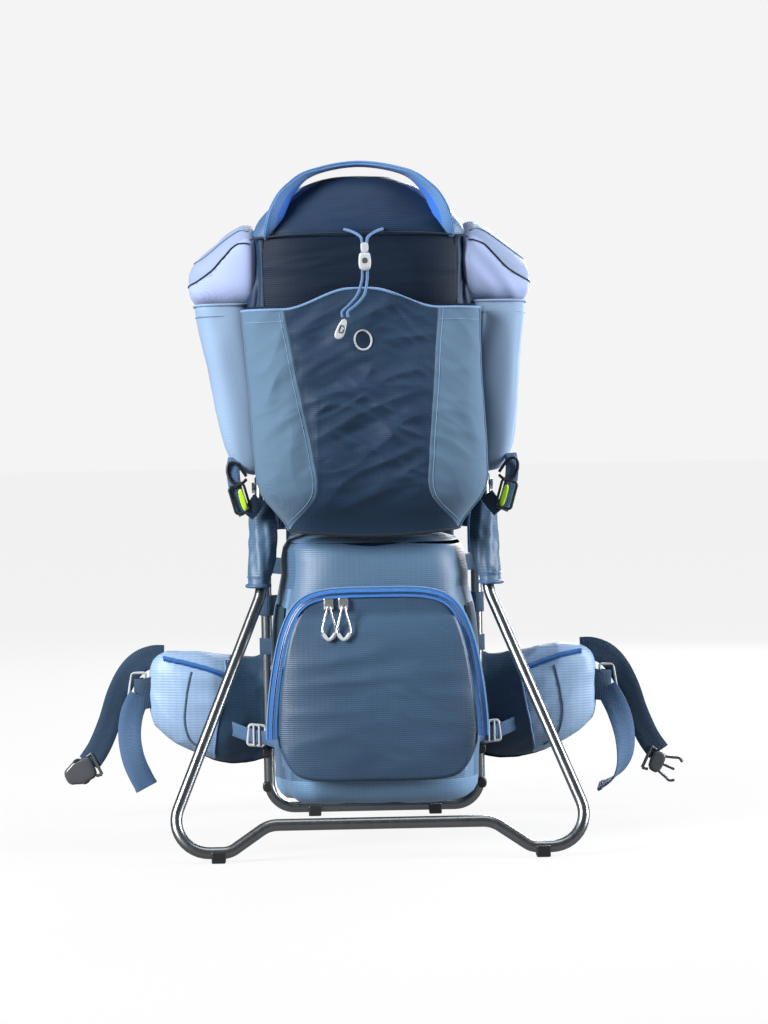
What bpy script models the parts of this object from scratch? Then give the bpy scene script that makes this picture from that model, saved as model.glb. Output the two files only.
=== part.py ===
"""Framed child carrier backpack with a folding kickstand. Metres, +Z up, -Y is the outer side, +Y the wearer."""

import math

import bmesh
import bpy
from mathutils import Matrix, Vector

# Driving dimensions
TUBE_R = 0.006
GAP = 0.0003
CLIP_DROP = 0.0035
TUBE_Z = TUBE_R + CLIP_DROP
FRAME_X = 0.117
FRAME_Y = 0.145
FRAME_TOP_Z = 0.625
FRAME_BEND = 0.028
HINGE = Vector((0.117, -0.050, 0.370))
PIN_R = 0.003
PIN_HEAD_R = 0.0055
PIN_HEAD_THICK = 0.0025
PIN_TAIL_R = 0.0052
PIN_TAIL_THICK = 0.0027
STAND_Y = -0.195
STAND_SLOPE = (HINGE.y - STAND_Y) / (HINGE.z - TUBE_Z)
STAND_FOOT_X = 0.162
FRAME_FOOT_X = 0.067
FOOT_WIDTH = 0.014
ARM_THICK = 0.004
ARM_INNER_X = FRAME_X - TUBE_R - GAP - ARM_THICK
SHELL_FRONT_Y = -0.120
SHELL_BACK_Y = 0.128
SHELL_BOTTOM_Z = 0.330
RIM_Z = 0.628
WALL = 0.008
BAG_FRONT_Y = -0.126
BAG_BACK_Y = 0.118
DOOR_BOTTOM_Z = 0.070
DOOR_TOP_Z = 0.260
DOOR_HALF = 0.100
DOOR_THICK = 0.003
WING_HINGE = Vector((0.104, 0.163, 0.120))
WEB_THICK = 0.002
STRAP_HINGE_Y = 0.1712
STRAP_HINGE_Z = 0.590
SIDES = (("left", -1), ("right", 1))
SLIDER_PLACES = (("left", -0.048), ("right", -0.033))

COLOURS = {
    "tube": ((0.10, 0.11, 0.12), 0.3, 0.9),
    "steel": ((0.55, 0.57, 0.60), 0.3, 1.0),
    "black_plastic": ((0.02, 0.02, 0.022), 0.4, 0.0),
    "grey_plastic": ((0.62, 0.66, 0.70), 0.4, 0.0),
    "green_plastic": ((0.38, 0.72, 0.02), 0.4, 0.0),
    "fabric_blue": ((0.13, 0.25, 0.38), 0.8, 0.0),
    "fabric_light": ((0.38, 0.52, 0.72), 0.8, 0.0),
    "fabric_dark": ((0.02, 0.04, 0.07), 0.8, 0.0),
    "webbing": ((0.10, 0.18, 0.28), 0.8, 0.0),
    "handle_blue": ((0.10, 0.25, 0.60), 0.7, 0.0),
    "cord_blue": ((0.15, 0.25, 0.38), 0.7, 0.0),
    "mesh_pad": ((0.08, 0.12, 0.17), 0.9, 0.0),
}


def clear_scene():
    for old in list(bpy.data.objects):
        bpy.data.objects.remove(old, do_unlink=True)


def new_collection(name):
    made = bpy.data.collections.new(name)
    bpy.context.scene.collection.children.link(made)
    return made


def material(name):
    found = bpy.data.materials.get(name)
    if found:
        return found
    colour, roughness, metallic = COLOURS[name]
    made = bpy.data.materials.new(name)
    made.use_nodes = True
    shader = made.node_tree.nodes["Principled BSDF"]
    shader.inputs["Base Color"].default_value = (*colour, 1.0)
    shader.inputs["Roughness"].default_value = roughness
    shader.inputs["Metallic"].default_value = metallic
    return made


clear_scene()
PARTS = new_collection("child_carrier")
CUTTERS = new_collection("cutters")


def add_object(name, data, slot, origin=(0, 0, 0)):
    """Links data as a part, or as a hidden cutter where slot is None."""
    made = bpy.data.objects.new(name, data)
    made.location = origin
    if slot is None:
        CUTTERS.objects.link(made)
        made.hide_render = True
        made.display_type = "WIRE"
        return made
    PARTS.objects.link(made)
    data.materials.append(material(slot))
    return made


def mesh_object(name, bm, slot, origin=(0, 0, 0), smooth=True):
    """Makes an object of a bmesh in world coordinates, with its own origin at the given point."""
    bm.transform(Matrix.Translation(-Vector(origin)))
    bm.normal_update()
    bmesh.ops.recalc_face_normals(bm, faces=bm.faces)
    if bm.calc_volume(signed=True) < 0:
        bmesh.ops.reverse_faces(bm, faces=bm.faces)
    data = bpy.data.meshes.new(name)
    bm.to_mesh(data)
    bm.free()
    if smooth:
        data.shade_smooth()
        data.set_sharp_from_angle(angle=math.radians(40))
    return add_object(name, data, slot, origin)


def box(name, low, high, slot, bevel=0.0, origin=(0, 0, 0), turn=None):
    """A block between two corners, with rounded edges, turned by a matrix about its centre."""
    low, high = Vector(low), Vector(high)
    bm = bmesh.new()
    bmesh.ops.create_cube(bm, size=1.0)
    bmesh.ops.scale(bm, vec=high - low, verts=bm.verts)
    if bevel:
        bmesh.ops.bevel(bm, geom=bm.edges[:], offset=bevel, segments=2, profile=0.5, affect="EDGES")
    if turn:
        bm.transform(turn)
    bm.transform(Matrix.Translation((low + high) / 2))
    return mesh_object(name, bm, slot, origin)


def rod(name, start, end, radius, slot, origin=(0, 0, 0), sides=16):
    """A round rod from one point to another."""
    start, end = Vector(start), Vector(end)
    bm = bmesh.new()
    length = (end - start).length
    bmesh.ops.create_cone(bm, cap_ends=True, segments=sides, radius1=radius, radius2=radius, depth=length)
    bm.transform((end - start).to_track_quat("Z", "Y").to_matrix().to_4x4())
    bm.transform(Matrix.Translation((start + end) / 2))
    return mesh_object(name, bm, slot, origin)


def ring(centre, half_a, half_b, axis, count=20, power=3.0):
    """A rounded rectangle across the given axis ("x", "y" or "z"), as a superellipse."""
    points = []
    for i in range(count):
        turn = 2 * math.pi * (i + 0.5) / count
        a = half_a * math.copysign(abs(math.cos(turn)) ** (2 / power), math.cos(turn))
        b = half_b * math.copysign(abs(math.sin(turn)) ** (2 / power), math.sin(turn))
        offset = {"z": (a, b, 0), "x": (0, a, b), "y": (a, 0, b)}[axis]
        points.append(Vector(centre) + Vector(offset))
    return points


def loft(name, rings, slot, origin=(0, 0, 0)):
    """A closed solid through rings of equal point counts, capped at both ends."""
    bm = bmesh.new()
    rows = [[bm.verts.new(p) for p in points] for points in rings]
    count = len(rows[0])
    for lower, upper in zip(rows, rows[1:]):
        for i in range(count):
            bm.faces.new((lower[i], lower[(i + 1) % count], upper[(i + 1) % count], upper[i]))
    bm.faces.new(rows[0])
    bm.faces.new(rows[-1])
    return mesh_object(name, bm, slot, origin)


def stack(name, levels, slot, origin=(0, 0, 0), count=20, power=3.5):
    """A loft up Z. Each level is z, the low and high x, and the low and high y."""
    rings = []
    for z, x0, x1, y0, y1 in levels:
        centre = ((x0 + x1) / 2, (y0 + y1) / 2, z)
        rings.append(ring(centre, (x1 - x0) / 2, (y1 - y0) / 2, "z", count, power))
    return loft(name, rings, slot, origin)


def ribbon(name, path, across, width, slot, thick=WEB_THICK, origin=(0, 0, 0)):
    """Flat webbing along a path: width lies along the direction across, thickness square to it."""
    path = [Vector(p) for p in path]
    across = Vector(across).normalized()
    rings = []
    for i, point in enumerate(path):
        ahead = (path[min(i + 1, len(path) - 1)] - path[max(i - 1, 0)]).normalized()
        wide = (across - ahead * across.dot(ahead)).normalized()
        normal = ahead.cross(wide)
        half_w, half_t = wide * width / 2, normal * thick / 2
        rings.append([point + half_w + half_t, point - half_w + half_t,
                      point - half_w - half_t, point + half_w - half_t])
    return loft(name, rings, slot, origin)


def cut(target, cutter, operation="DIFFERENCE"):
    made = target.modifiers.new(cutter.name, "BOOLEAN")
    made.operation = operation
    made.object = cutter
    made.solver = "EXACT"


def filleted(corners, radii, steps=5):
    """The polyline through corners with each inner corner rounded to an arc of its radius."""
    corners = [Vector(c) for c in corners]
    path = [corners[0]]
    for before, corner, after, radius in zip(corners, corners[1:], corners[2:], radii):
        back, ahead = (before - corner).normalized(), (after - corner).normalized()
        half = back.angle(ahead) / 2
        centre = corner + (back + ahead).normalized() * radius / math.sin(half)
        start = corner + back * radius / math.tan(half)
        end = corner + ahead * radius / math.tan(half)
        for i in range(steps + 1):
            spoke = (start - centre).slerp(end - centre, i / steps)
            path.append(centre + spoke.normalized() * radius)
    path.append(corners[-1])
    return path


def smooth_path(knots, steps=6):
    """Points along a smooth curve through the knots (Catmull-Rom)."""
    knots = [Vector(k) for k in knots]
    padded = [knots[0] * 2 - knots[1], *knots, knots[-1] * 2 - knots[-2]]
    path = []
    for a, b, c, d in zip(padded, padded[1:], padded[2:], padded[3:]):
        for i in range(steps):
            t = i / steps
            path.append(0.5 * (2 * b + (c - a) * t + (2 * a - 5 * b + 4 * c - d) * t * t
                               + (3 * b - a - 3 * c + d) * t ** 3))
    return [*path, knots[-1]]


def tube(name, path, radius, slot, origin=(0, 0, 0), resolution=3):
    """A round tube along a path, as a curve object with filled caps."""
    data = bpy.data.curves.new(name, "CURVE")
    data.dimensions = "3D"
    data.bevel_depth = radius
    data.bevel_resolution = resolution
    data.use_fill_caps = True
    spline = data.splines.new("POLY")
    spline.points.add(len(path) - 1)
    for point, place in zip(spline.points, path):
        point.co = (*(Vector(place) - Vector(origin)), 1.0)
    return add_object(name, data, slot, origin)


def as_mesh(curve):
    """Turns a curve object into a welded mesh object of the same name and material."""
    bpy.context.view_layer.update()
    graph = bpy.context.evaluated_depsgraph_get()
    data = bpy.data.meshes.new_from_object(curve.evaluated_get(graph))
    bm = bmesh.new()
    bm.from_mesh(data)
    bmesh.ops.remove_doubles(bm, verts=bm.verts, dist=1e-6)
    bmesh.ops.recalc_face_normals(bm, faces=bm.faces)
    bm.to_mesh(data)
    bm.free()
    data.shade_smooth()
    name, place, home = curve.name, curve.matrix_world.copy(), curve.users_collection[0]
    hidden, display = curve.hide_render, curve.display_type
    bpy.data.objects.remove(curve, do_unlink=True)
    made = bpy.data.objects.new(name, data)
    home.objects.link(made)
    made.matrix_world = place
    made.hide_render, made.display_type = hidden, display
    return made


# Frame and kickstand

def frame_path():
    right = [(FRAME_X, 0.130, FRAME_TOP_Z), (FRAME_X, FRAME_Y, 0.330), (FRAME_X, FRAME_Y, TUBE_Z)]
    left = [(-x, y, z) for x, y, z in reversed(right)]
    return filleted(right + left, [0.15, FRAME_BEND, FRAME_BEND, 0.15])


def stand_point(x, z):
    """A point of the kickstand's plane, which leans outwards from the hinge to the feet."""
    return (x, STAND_Y + (z - TUBE_Z) * STAND_SLOPE, z)


def stand_path():
    right = [stand_point(*p) for p in ((HINGE.x, HINGE.z + 0.010), (HINGE.x, 0.262), (0.2195, TUBE_Z),
                                       (0.151, TUBE_Z), (0.112, 0.035))]
    left = [(-x, y, z) for x, y, z in reversed(right)]
    return filleted(right + left, [0.05, 0.034, 0.022, 0.03, 0.03, 0.022, 0.034, 0.05])


def foot_clip(name, x, y, path, origin=(0, 0, 0)):
    """A clip under the tube, open at the top, cut out to the tube's own bend."""
    clip = box(name, (x - FOOT_WIDTH / 2, y - 0.0095, 0.0), (x + FOOT_WIDTH / 2, y + 0.0095, TUBE_Z + 0.002),
               "black_plastic", 0.0012, origin)
    cut(clip, as_mesh(tube(name + "_bore", path, TUBE_R + GAP, None)))


def build_frame():
    path = frame_path()
    tube("main_frame", path, TUBE_R, "tube")
    reach = FRAME_X - TUBE_R - GAP
    rod("frame_crossbar", (-reach, 0.1315, 0.600), (reach, 0.1315, 0.600), 0.005, "tube")
    for side, s in SIDES:
        foot_clip(f"frame_foot_{side}", s * FRAME_FOOT_X, FRAME_Y, path)


def build_hinges():
    for side, s in SIDES:
        xs = sorted((s * ARM_INNER_X, s * (ARM_INNER_X + ARM_THICK)))
        arm = box(f"hinge_arm_{side}", (xs[0], HINGE.y - 0.012, HINGE.z - 0.011),
                  (xs[1], FRAME_Y + 0.004, HINGE.z + 0.011), "tube")
        hole = rod(f"arm_hole_{side}", (s * 0.09, HINGE.y, HINGE.z), (s * 0.13, HINGE.y, HINGE.z),
                   PIN_R + GAP, None)
        cut(arm, hole)
        head = HINGE.x + TUBE_R + GAP
        profile = [(PIN_HEAD_R, head + PIN_HEAD_THICK), (PIN_HEAD_R, head), (PIN_R, head),
                   (PIN_R, ARM_INNER_X - GAP), (PIN_TAIL_R, ARM_INNER_X - GAP),
                   (PIN_TAIL_R, ARM_INNER_X - GAP - PIN_TAIL_THICK)]
        turned(f"hinge_pin_{side}", profile, (0, HINGE.y, HINGE.z), s, "steel")


def turned(name, profile, centre, s, slot):
    """A turned piece along X: the profile gives radius and distance from the middle plane."""
    rings = []
    sides = 16
    for radius, along in profile:
        rings.append([Vector((s * along, centre[1] + radius * math.cos(2 * math.pi * i / sides),
                              centre[2] + radius * math.sin(2 * math.pi * i / sides))) for i in range(sides)])
    loft(name, rings, slot)


def build_kickstand():
    path = stand_path()
    origin = (0, HINGE.y, HINGE.z)
    stand = as_mesh(tube("kickstand", path, TUBE_R, "tube", origin))
    hole = rod("stand_hole", (-0.14, HINGE.y, HINGE.z), (0.14, HINGE.y, HINGE.z), PIN_R + GAP, None)
    cut(stand, hole)
    for side, s in SIDES:
        foot_clip(f"kickstand_foot_{side}", s * STAND_FOOT_X, STAND_Y, path, origin)
        build_sleeve(side, s, origin)


def build_sleeve(side, s, origin):
    """The gathered fabric tube round the top of one kickstand leg."""
    rings = []
    for z, half in ((0.345, 0.0115), (0.325, 0.0135), (0.290, 0.0145), (0.268, 0.0130)):
        x, y, z = stand_point(s * (HINGE.x + 0.0015), z)
        rings.append(ring((x, y, z), half, half, "z", 16, 2.0))
    sleeve = loft(f"leg_sleeve_{side}", rings, "fabric_blue", origin)
    bore = rod(f"sleeve_bore_{side}", stand_point(s * (HINGE.x + 0.0005), 0.360),
               stand_point(s * (HINGE.x + 0.0005), 0.255), 0.0085, None)
    cut(sleeve, bore)


# Fabric body

def build_shell():
    """The tub round the child: open at the top, with a leg opening on each side by the wearer's back."""
    levels = ((SHELL_BOTTOM_Z, 0.086, -0.100, 0.118), (0.360, 0.098, -0.114, 0.126),
              (0.460, 0.102, SHELL_FRONT_Y, SHELL_BACK_Y), (0.560, 0.104, -0.118, 0.124),
              (RIM_Z, 0.104, -0.108, 0.122))
    outer = [(z, -half, half, y0, y1) for z, half, y0, y1 in levels]
    inner = [(z + (0.012 if i == 0 else 0.0), -half + WALL, half - WALL, y0 + WALL, y1 - WALL)
             for i, (z, half, y0, y1) in enumerate(levels)]
    z, x0, x1, y0, y1 = inner[-1]
    inner[-1] = (z + 0.010, x0, x1, y0, y1)
    shell = stack("cockpit_shell", outer, "fabric_dark")
    cut(shell, stack("shell_inside", inner, None))
    cut(shell, box("leg_openings", (-0.15, 0.025, 0.392), (0.15, 0.095, 0.485), None, 0.012))


def build_wings():
    """The side wings: soft shelves from the shell's rim out to the rounded corners."""
    for side, s in SIDES:
        levels = ((0.5625, 0.1085, 0.136, -0.085, 0.085), (0.592, 0.1085, 0.181, -0.085, 0.090),
                  (0.612, 0.1085, 0.168, -0.078, 0.088), (0.640, 0.1085, 0.128, -0.066, 0.080))
        stack(f"side_wing_{side}", [mirrored(level, s) for level in levels], "fabric_light")
        levels = ((0.384, 0.1280, 0.146, -0.092, -0.020), (0.430, 0.1280, 0.153, -0.096, 0.000),
                  (0.500, 0.1280, 0.164, -0.096, 0.020), (0.5610, 0.1280, 0.176, -0.090, 0.040))
        pocket = stack(f"side_pocket_{side}", [mirrored(level, s) for level in levels], "fabric_light")
        hollow = [(z + (0.006 if i == 0 else 0), x0 + 0.005, x1 - 0.004, y0 + 0.005, y1 - 0.005)
                  for i, (z, x0, x1, y0, y1) in enumerate(levels)]
        hollow[-1] = (0.570, *hollow[-1][1:])
        cut(pocket, stack(f"side_hollow_{side}", [mirrored(level, s) for level in hollow], None))


def mirrored(level, s):
    z, x0, x1, y0, y1 = level
    return (z, x0, x1, y0, y1) if s > 0 else (z, -x1, -x0, y0, y1)


def build_front_pocket():
    levels = ((0.322, 0.092, -0.142, -0.1215), (0.350, 0.116, -0.156, -0.1215), (0.420, 0.124, -0.166, -0.1215),
              (0.500, 0.122, -0.162, -0.1215), (0.556, 0.119, -0.150, -0.1215))
    outer = [(z, -half, half, y0, y1) for z, half, y0, y1 in levels]
    pocket = stack("front_pocket", outer, "fabric_blue", count=24)
    inner = [(z + (0.008 if i == 0 else 0), -half + 0.006, half - 0.006, y0 + 0.005, y1 - 0.004)
             for i, (z, half, y0, y1) in enumerate(levels)]
    z, *rest = inner[-1]
    inner[-1] = (z + 0.01, *rest)
    cut(pocket, stack("pocket_inside", inner, None, count=24))


def build_headrest():
    """The padded hump behind the child's head, over the hem, and the grab handle that arches over it."""
    levels = ((0.6290, 0.102, -0.112, -0.052), (0.645, 0.088, -0.112, -0.048), (0.660, 0.064, -0.104, -0.050),
              (0.675, 0.042, -0.094, -0.056), (0.684, 0.028, -0.088, -0.062))
    stack("headrest", [(z, -half, half, y0, y1) for z, half, y0, y1 in levels], "fabric_dark")
    arch = ((0.088, -0.086, 0.6485), (0.078, -0.084, 0.664), (0.060, -0.082, 0.684), (0.033, -0.080, 0.699))
    knots = [(-x, y, z) for x, y, z in arch] + [(0, -0.079, 0.7035)] + list(reversed(arch))
    ribbon("grab_handle", smooth_path(knots, 3), (0, 1, 0), 0.025, "handle_blue", 0.003)


def build_bag():
    """The lower compartment: a hollow shell, narrower between the sleeves, cut open behind the door."""
    levels = ((0.047, 0.094, -0.108, 0.040), (0.062, 0.105, -0.122, 0.098), (0.110, 0.106, BAG_FRONT_Y, BAG_BACK_Y),
              (0.255, 0.105, BAG_FRONT_Y, BAG_BACK_Y), (0.268, 0.100, -0.124, BAG_BACK_Y),
              (0.317, 0.098, -0.114, 0.112))
    outer = [(z, -half, half, y0, y1) for z, half, y0, y1 in levels]
    bag = stack("compartment", outer, "fabric_blue")
    inner = [(z, -half + WALL, half - WALL, y0 + WALL, y1 - WALL) for z, half, y0, y1 in levels]
    inner[0] = (0.056, *inner[0][1:])
    inner[-1] = (0.309, *inner[-1][1:])
    cut(bag, stack("bag_inside", inner, None))
    opening = box("door_opening", (-DOOR_HALF + 0.006, -0.15, DOOR_BOTTOM_Z + 0.008),
                  (DOOR_HALF - 0.006, -0.10, DOOR_TOP_Z - 0.008), None)
    cut(bag, opening)


def door_outline(inset=0.0):
    """Half of the D-shaped door, from the bottom edge's middle to the top's, then mirrored."""
    low, high, half = DOOR_BOTTOM_Z + inset, DOOR_TOP_Z - inset, DOOR_HALF - inset
    corners = [(0, low), (half * 0.9, low), (half, low + 0.035), (half * 0.93, high - 0.055),
               (half * 0.68, high - 0.008), (0, high)]
    corners = [Vector((x, 0, z)) for x, z in corners]
    right = filleted(corners, [0.016, 0.03, 0.03, 0.04], 3)
    return right[:-1] + [Vector((-p.x, 0, p.z)) for p in reversed(right)][:-1]


def build_door():
    hinge = (0, BAG_FRONT_Y - GAP - DOOR_THICK, DOOR_BOTTOM_Z)
    back = BAG_FRONT_Y - GAP
    outline = door_outline()
    rings = [[p + Vector((0, y, 0)) for p in outline] for y in (back - DOOR_THICK, back)]
    loft("compartment_door", rings, "fabric_blue", hinge)
    front = back - DOOR_THICK - GAP
    for side, x in SLIDER_PLACES:
        slider = box(f"door_slider_{side}", (x - 0.005, front - 0.004, DOOR_TOP_Z - 0.014),
                     (x + 0.005, front, DOOR_TOP_Z - 0.002), "steel", 0.001, (x, front, DOOR_TOP_Z))
        slot = box(f"slider_slot_{side}", (x - 0.008, front - 0.0028, DOOR_TOP_Z - 0.012),
                   (x + 0.008, front - 0.0012, DOOR_TOP_Z - 0.0092), None)
        cut(slider, slot)
        pull_y = front - 0.0074
        pull = box(f"door_pull_{side}", (x - 0.0042, pull_y - 0.001, DOOR_TOP_Z - 0.044),
                   (x + 0.0042, pull_y + 0.0028, DOOR_TOP_Z - 0.010), "steel", 0.0006,
                   (x, pull_y, DOOR_TOP_Z - 0.010))
        eye = box(f"pull_eye_{side}", (x - 0.0022, pull_y - 0.01, DOOR_TOP_Z - 0.032),
                  (x + 0.0022, pull_y + 0.01, DOOR_TOP_Z - 0.016), None)
        cut(pull, eye)


# Inside: seat, chin pad, harness and footrests

def build_inside():
    seat = [(0.404, -0.066, 0.066, -0.066, 0.098), (0.412, -0.074, 0.074, -0.073, 0.104),
            (0.424, -0.074, 0.074, -0.073, 0.104), (0.430, -0.068, 0.068, -0.066, 0.098)]
    stack("child_seat", seat, "mesh_pad", (0, 0, 0.416))
    chin = [(0.6285, -0.070, 0.070, 0.098, 0.124), (0.640, -0.076, 0.076, 0.094, 0.128),
            (0.654, -0.076, 0.076, 0.094, 0.128), (0.664, -0.066, 0.066, 0.100, 0.122)]
    stack("chin_pad", chin, "mesh_pad")
    for side, s in SIDES:
        knots = [(s * 0.034, -0.094, 0.590), (s * 0.034, -0.092, 0.540), (s * 0.030, -0.088, 0.490)]
        ribbon(f"harness_strap_{side}", smooth_path(knots, 3), (1, 0, 0), 0.038, "mesh_pad", 0.006)
    body = box("harness_buckle", (-0.020, -0.094, 0.450), (0.020, -0.078, 0.482), "black_plastic", 0.003)
    cut(body, box("buckle_well", (-0.0085, -0.0868, 0.4575), (0.0085, -0.07, 0.4745), None))
    box("harness_button", (-0.0080, -0.0838, 0.4580), (0.0080, -0.0765, 0.4740), "green_plastic", 0.001,
        (0, -0.080, 0.466))
    for side, s in SIDES:
        xs = sorted((s * 0.1085, s * 0.1105))
        hanger = box(f"footrest_{side}", (xs[0], 0.045, 0.300), (xs[1], 0.065, 0.352), "webbing", 0.0,
                     (s * 0.1095, 0.055, 0.352))
        tread = box(f"tread_{side}", (min(xs) - 0.0005, 0.038, 0.292), (max(xs) + 0.0005, 0.072, 0.304), None)
        cut(hanger, tread, "UNION")


# The wearer's side

def build_back():
    back = [(0.215, -0.094, 0.094, 0.1525, 0.168), (0.260, -0.102, 0.102, 0.1525, 0.172),
            (0.400, -0.096, 0.096, 0.1525, 0.172), (0.520, -0.086, 0.086, 0.1525, 0.170)]
    stack("back_panel", back, "mesh_pad")
    lumbar = [(0.068, -0.070, 0.070, 0.1525, 0.170), (0.090, -0.086, 0.086, 0.1525, 0.182),
              (0.160, -0.086, 0.086, 0.1525, 0.184), (0.196, -0.074, 0.074, 0.1525, 0.168)]
    stack("lumbar_pad", lumbar, "mesh_pad")
    yoke = [(0.528, -0.056, 0.056, 0.1525, 0.163), (0.545, -0.066, 0.066, 0.1525, 0.166),
            (0.575, -0.066, 0.066, 0.1525, 0.166), (0.590, -0.056, 0.056, 0.1525, 0.163)]
    stack("shoulder_yoke", yoke, "mesh_pad", (0, 0.158, 0.560))
    for side, s in SIDES:
        knots = [(s * 0.045, STRAP_HINGE_Y, STRAP_HINGE_Z + 0.002), (s * 0.052, 0.186, 0.570), (s * 0.062, 0.194, 0.500),
                 (s * 0.072, 0.194, 0.420), (s * 0.078, 0.188, 0.330)]
        ribbon(f"shoulder_strap_{side}", smooth_path(knots, 3), (1, 0, 0), 0.058, "mesh_pad", 0.012,
               (s * 0.045, STRAP_HINGE_Y, STRAP_HINGE_Z))
    ribbon("chest_strap", [(-0.060, 0.2035, 0.480), (0, 0.2035, 0.476), (0.060, 0.2035, 0.480)], (0, 0, 1), 0.020,
           "webbing", WEB_THICK)


def build_hip_belt():
    """Each padded wing is lofted outwards from its root by the lumbar pad."""
    stations = ((0.0900, 0.1550, 0.1680, 0.076, 0.184), (0.128, 0.1525, 0.1700, 0.064, 0.190),
                (0.150, 0.138, 0.170, 0.058, 0.192), (0.190, 0.122, 0.168, 0.060, 0.192),
                (0.228, 0.126, 0.164, 0.074, 0.190), (0.252, 0.136, 0.160, 0.096, 0.176))
    for side, s in SIDES:
        rings = []
        for x, y0, y1, z0, z1 in stations:
            rings.append(ring((s * x, (y0 + y1) / 2, (z0 + z1) / 2), (y1 - y0) / 2, (z1 - z0) / 2, "x", 20, 3.0))
        loft(f"hip_wing_{side}", rings, "fabric_light", (s * WING_HINGE.x, WING_HINGE.y, WING_HINGE.z))


def build_belt_ends():
    for side, s in SIDES:
        hinge = (s * WING_HINGE.x, WING_HINGE.y, WING_HINGE.z)
        frame = box(f"belt_loop_{side}", (s * 0.264 - 0.009, 0.1455, 0.116), (s * 0.264 + 0.009, 0.1495, 0.160),
                    "grey_plastic", 0.0008, hinge)
        window = box(f"loop_window_{side}", (s * 0.264 - 0.0055, 0.13, 0.1215), (s * 0.264 + 0.0055, 0.16, 0.1545), None)
        cut(frame, window)
        knots = [(s * 0.262, 0.1435, 0.176), (s * 0.279, 0.1425, 0.160), (s * 0.288, 0.1415, 0.122),
                 (s * 0.306, 0.1405, 0.080)]
        ribbon(f"belt_webbing_{side}", smooth_path(knots, 3), (1, -0.0, 0.12), 0.025, "webbing", WEB_THICK, hinge)
        build_belt_buckle(side, s, hinge)


def build_belt_buckle(side, s, hinge):
    """One half of the belt's side-release buckle, on the end of its webbing."""
    centre = Vector((s * (0.325 if s < 0 else 0.312), 0.1400, 0.055))
    size = Vector((0.017, 0.005, 0.0125)) if s < 0 else Vector((0.015, 0.004, 0.011))
    name = "buckle_socket" if s < 0 else "buckle_plug"
    turn = Matrix.Rotation(math.radians(28 * s), 4, "Y")
    body = box(name, centre - size, centre + size, "black_plastic", 0.0015, hinge, turn)
    if s < 0:
        mouth = box("socket_mouth", centre - Vector((0.024, 0.0028, 0.0085)), centre + Vector((0.004, 0.0028, 0.0085)),
                    None, 0.0, (0, 0, 0), turn)
        mouth.location += turn @ Vector((-0.006, 0, 0))
        cut(body, mouth)
    else:
        for z in (-0.009, 0.009):
            prong = box(f"prong_{z > 0}", centre - Vector((0.012, 0.002, 0.0016)), centre + Vector((0.012, 0.002, 0.0016)),
                        None, 0.0, (0, 0, 0), turn)
            prong.location += turn @ Vector((0.022, 0, z))
            cut(body, prong, "UNION")


def build_side_fittings():
    """The compression straps' ladder locks and the side-entry buckles with their release levers."""
    for side, s in SIDES:
        x = s * 0.1290
        lock = box(f"ladder_lock_{side}", (x - 0.009, 0.1270, 0.082), (x + 0.009, 0.1310, 0.106), "grey_plastic",
                   0.0008)
        cut(lock, box(f"lock_window_{side}", (x - 0.0055, 0.12, 0.0865), (x + 0.0055, 0.14, 0.0925), None))
        cut(lock, box(f"lock_window_low_{side}", (x - 0.0055, 0.12, 0.0955), (x + 0.0055, 0.14, 0.1015), None))
        x = s * 0.138
        buckle = box(f"side_buckle_{side}", (x - 0.008, -0.106, 0.342), (x + 0.008, -0.097, 0.382), "black_plastic",
                     0.0015)
        pocket = box(f"lever_seat_{side}", (x - 0.0056, -0.12, 0.3444), (x + 0.0056, -0.1014, 0.3666), None)
        cut(buckle, pocket)
        box(f"side_release_{side}", (x - 0.0052, -0.1095, 0.3448), (x + 0.0052, -0.1039, 0.3662), "green_plastic",
            0.001, (x, -0.1065, 0.3662))


# Elastic cord with its lock and pull tab

CORD_R = 0.0015
LOCK = Vector((-0.0055, -0.1680, 0.5995))
TAB_TOP = Vector((-0.0260, -0.1710, 0.5415))


def cord_route(s):
    """From the hem, in to the lock, through it, and down in a loose curve to the pull tab."""
    x = LOCK.x
    return [(x + s * 0.0215, -0.1135, 0.6330), (x + s * 0.0190, -0.1240, 0.6325), (x + s * 0.0115, -0.1480, 0.6285),
            (x + s * 0.0040, -0.1645, 0.6225), (x + s * 0.0024, LOCK.y, 0.6165), (x + s * 0.0024, LOCK.y, 0.6060),
            (x + s * 0.0024, LOCK.y, 0.5860), (x + s * 0.0026 - 0.0008, LOCK.y - 0.0010, 0.5770),
            (x + s * 0.0034 - 0.0045, LOCK.y - 0.0025, 0.5640), (x + s * 0.0034 - 0.0130, TAB_TOP.y, 0.5540),
            (TAB_TOP.x + s * 0.0028, TAB_TOP.y, TAB_TOP.z + 0.0060),
            (TAB_TOP.x + s * 0.0028, TAB_TOP.y, TAB_TOP.z + 0.0004)]


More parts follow.
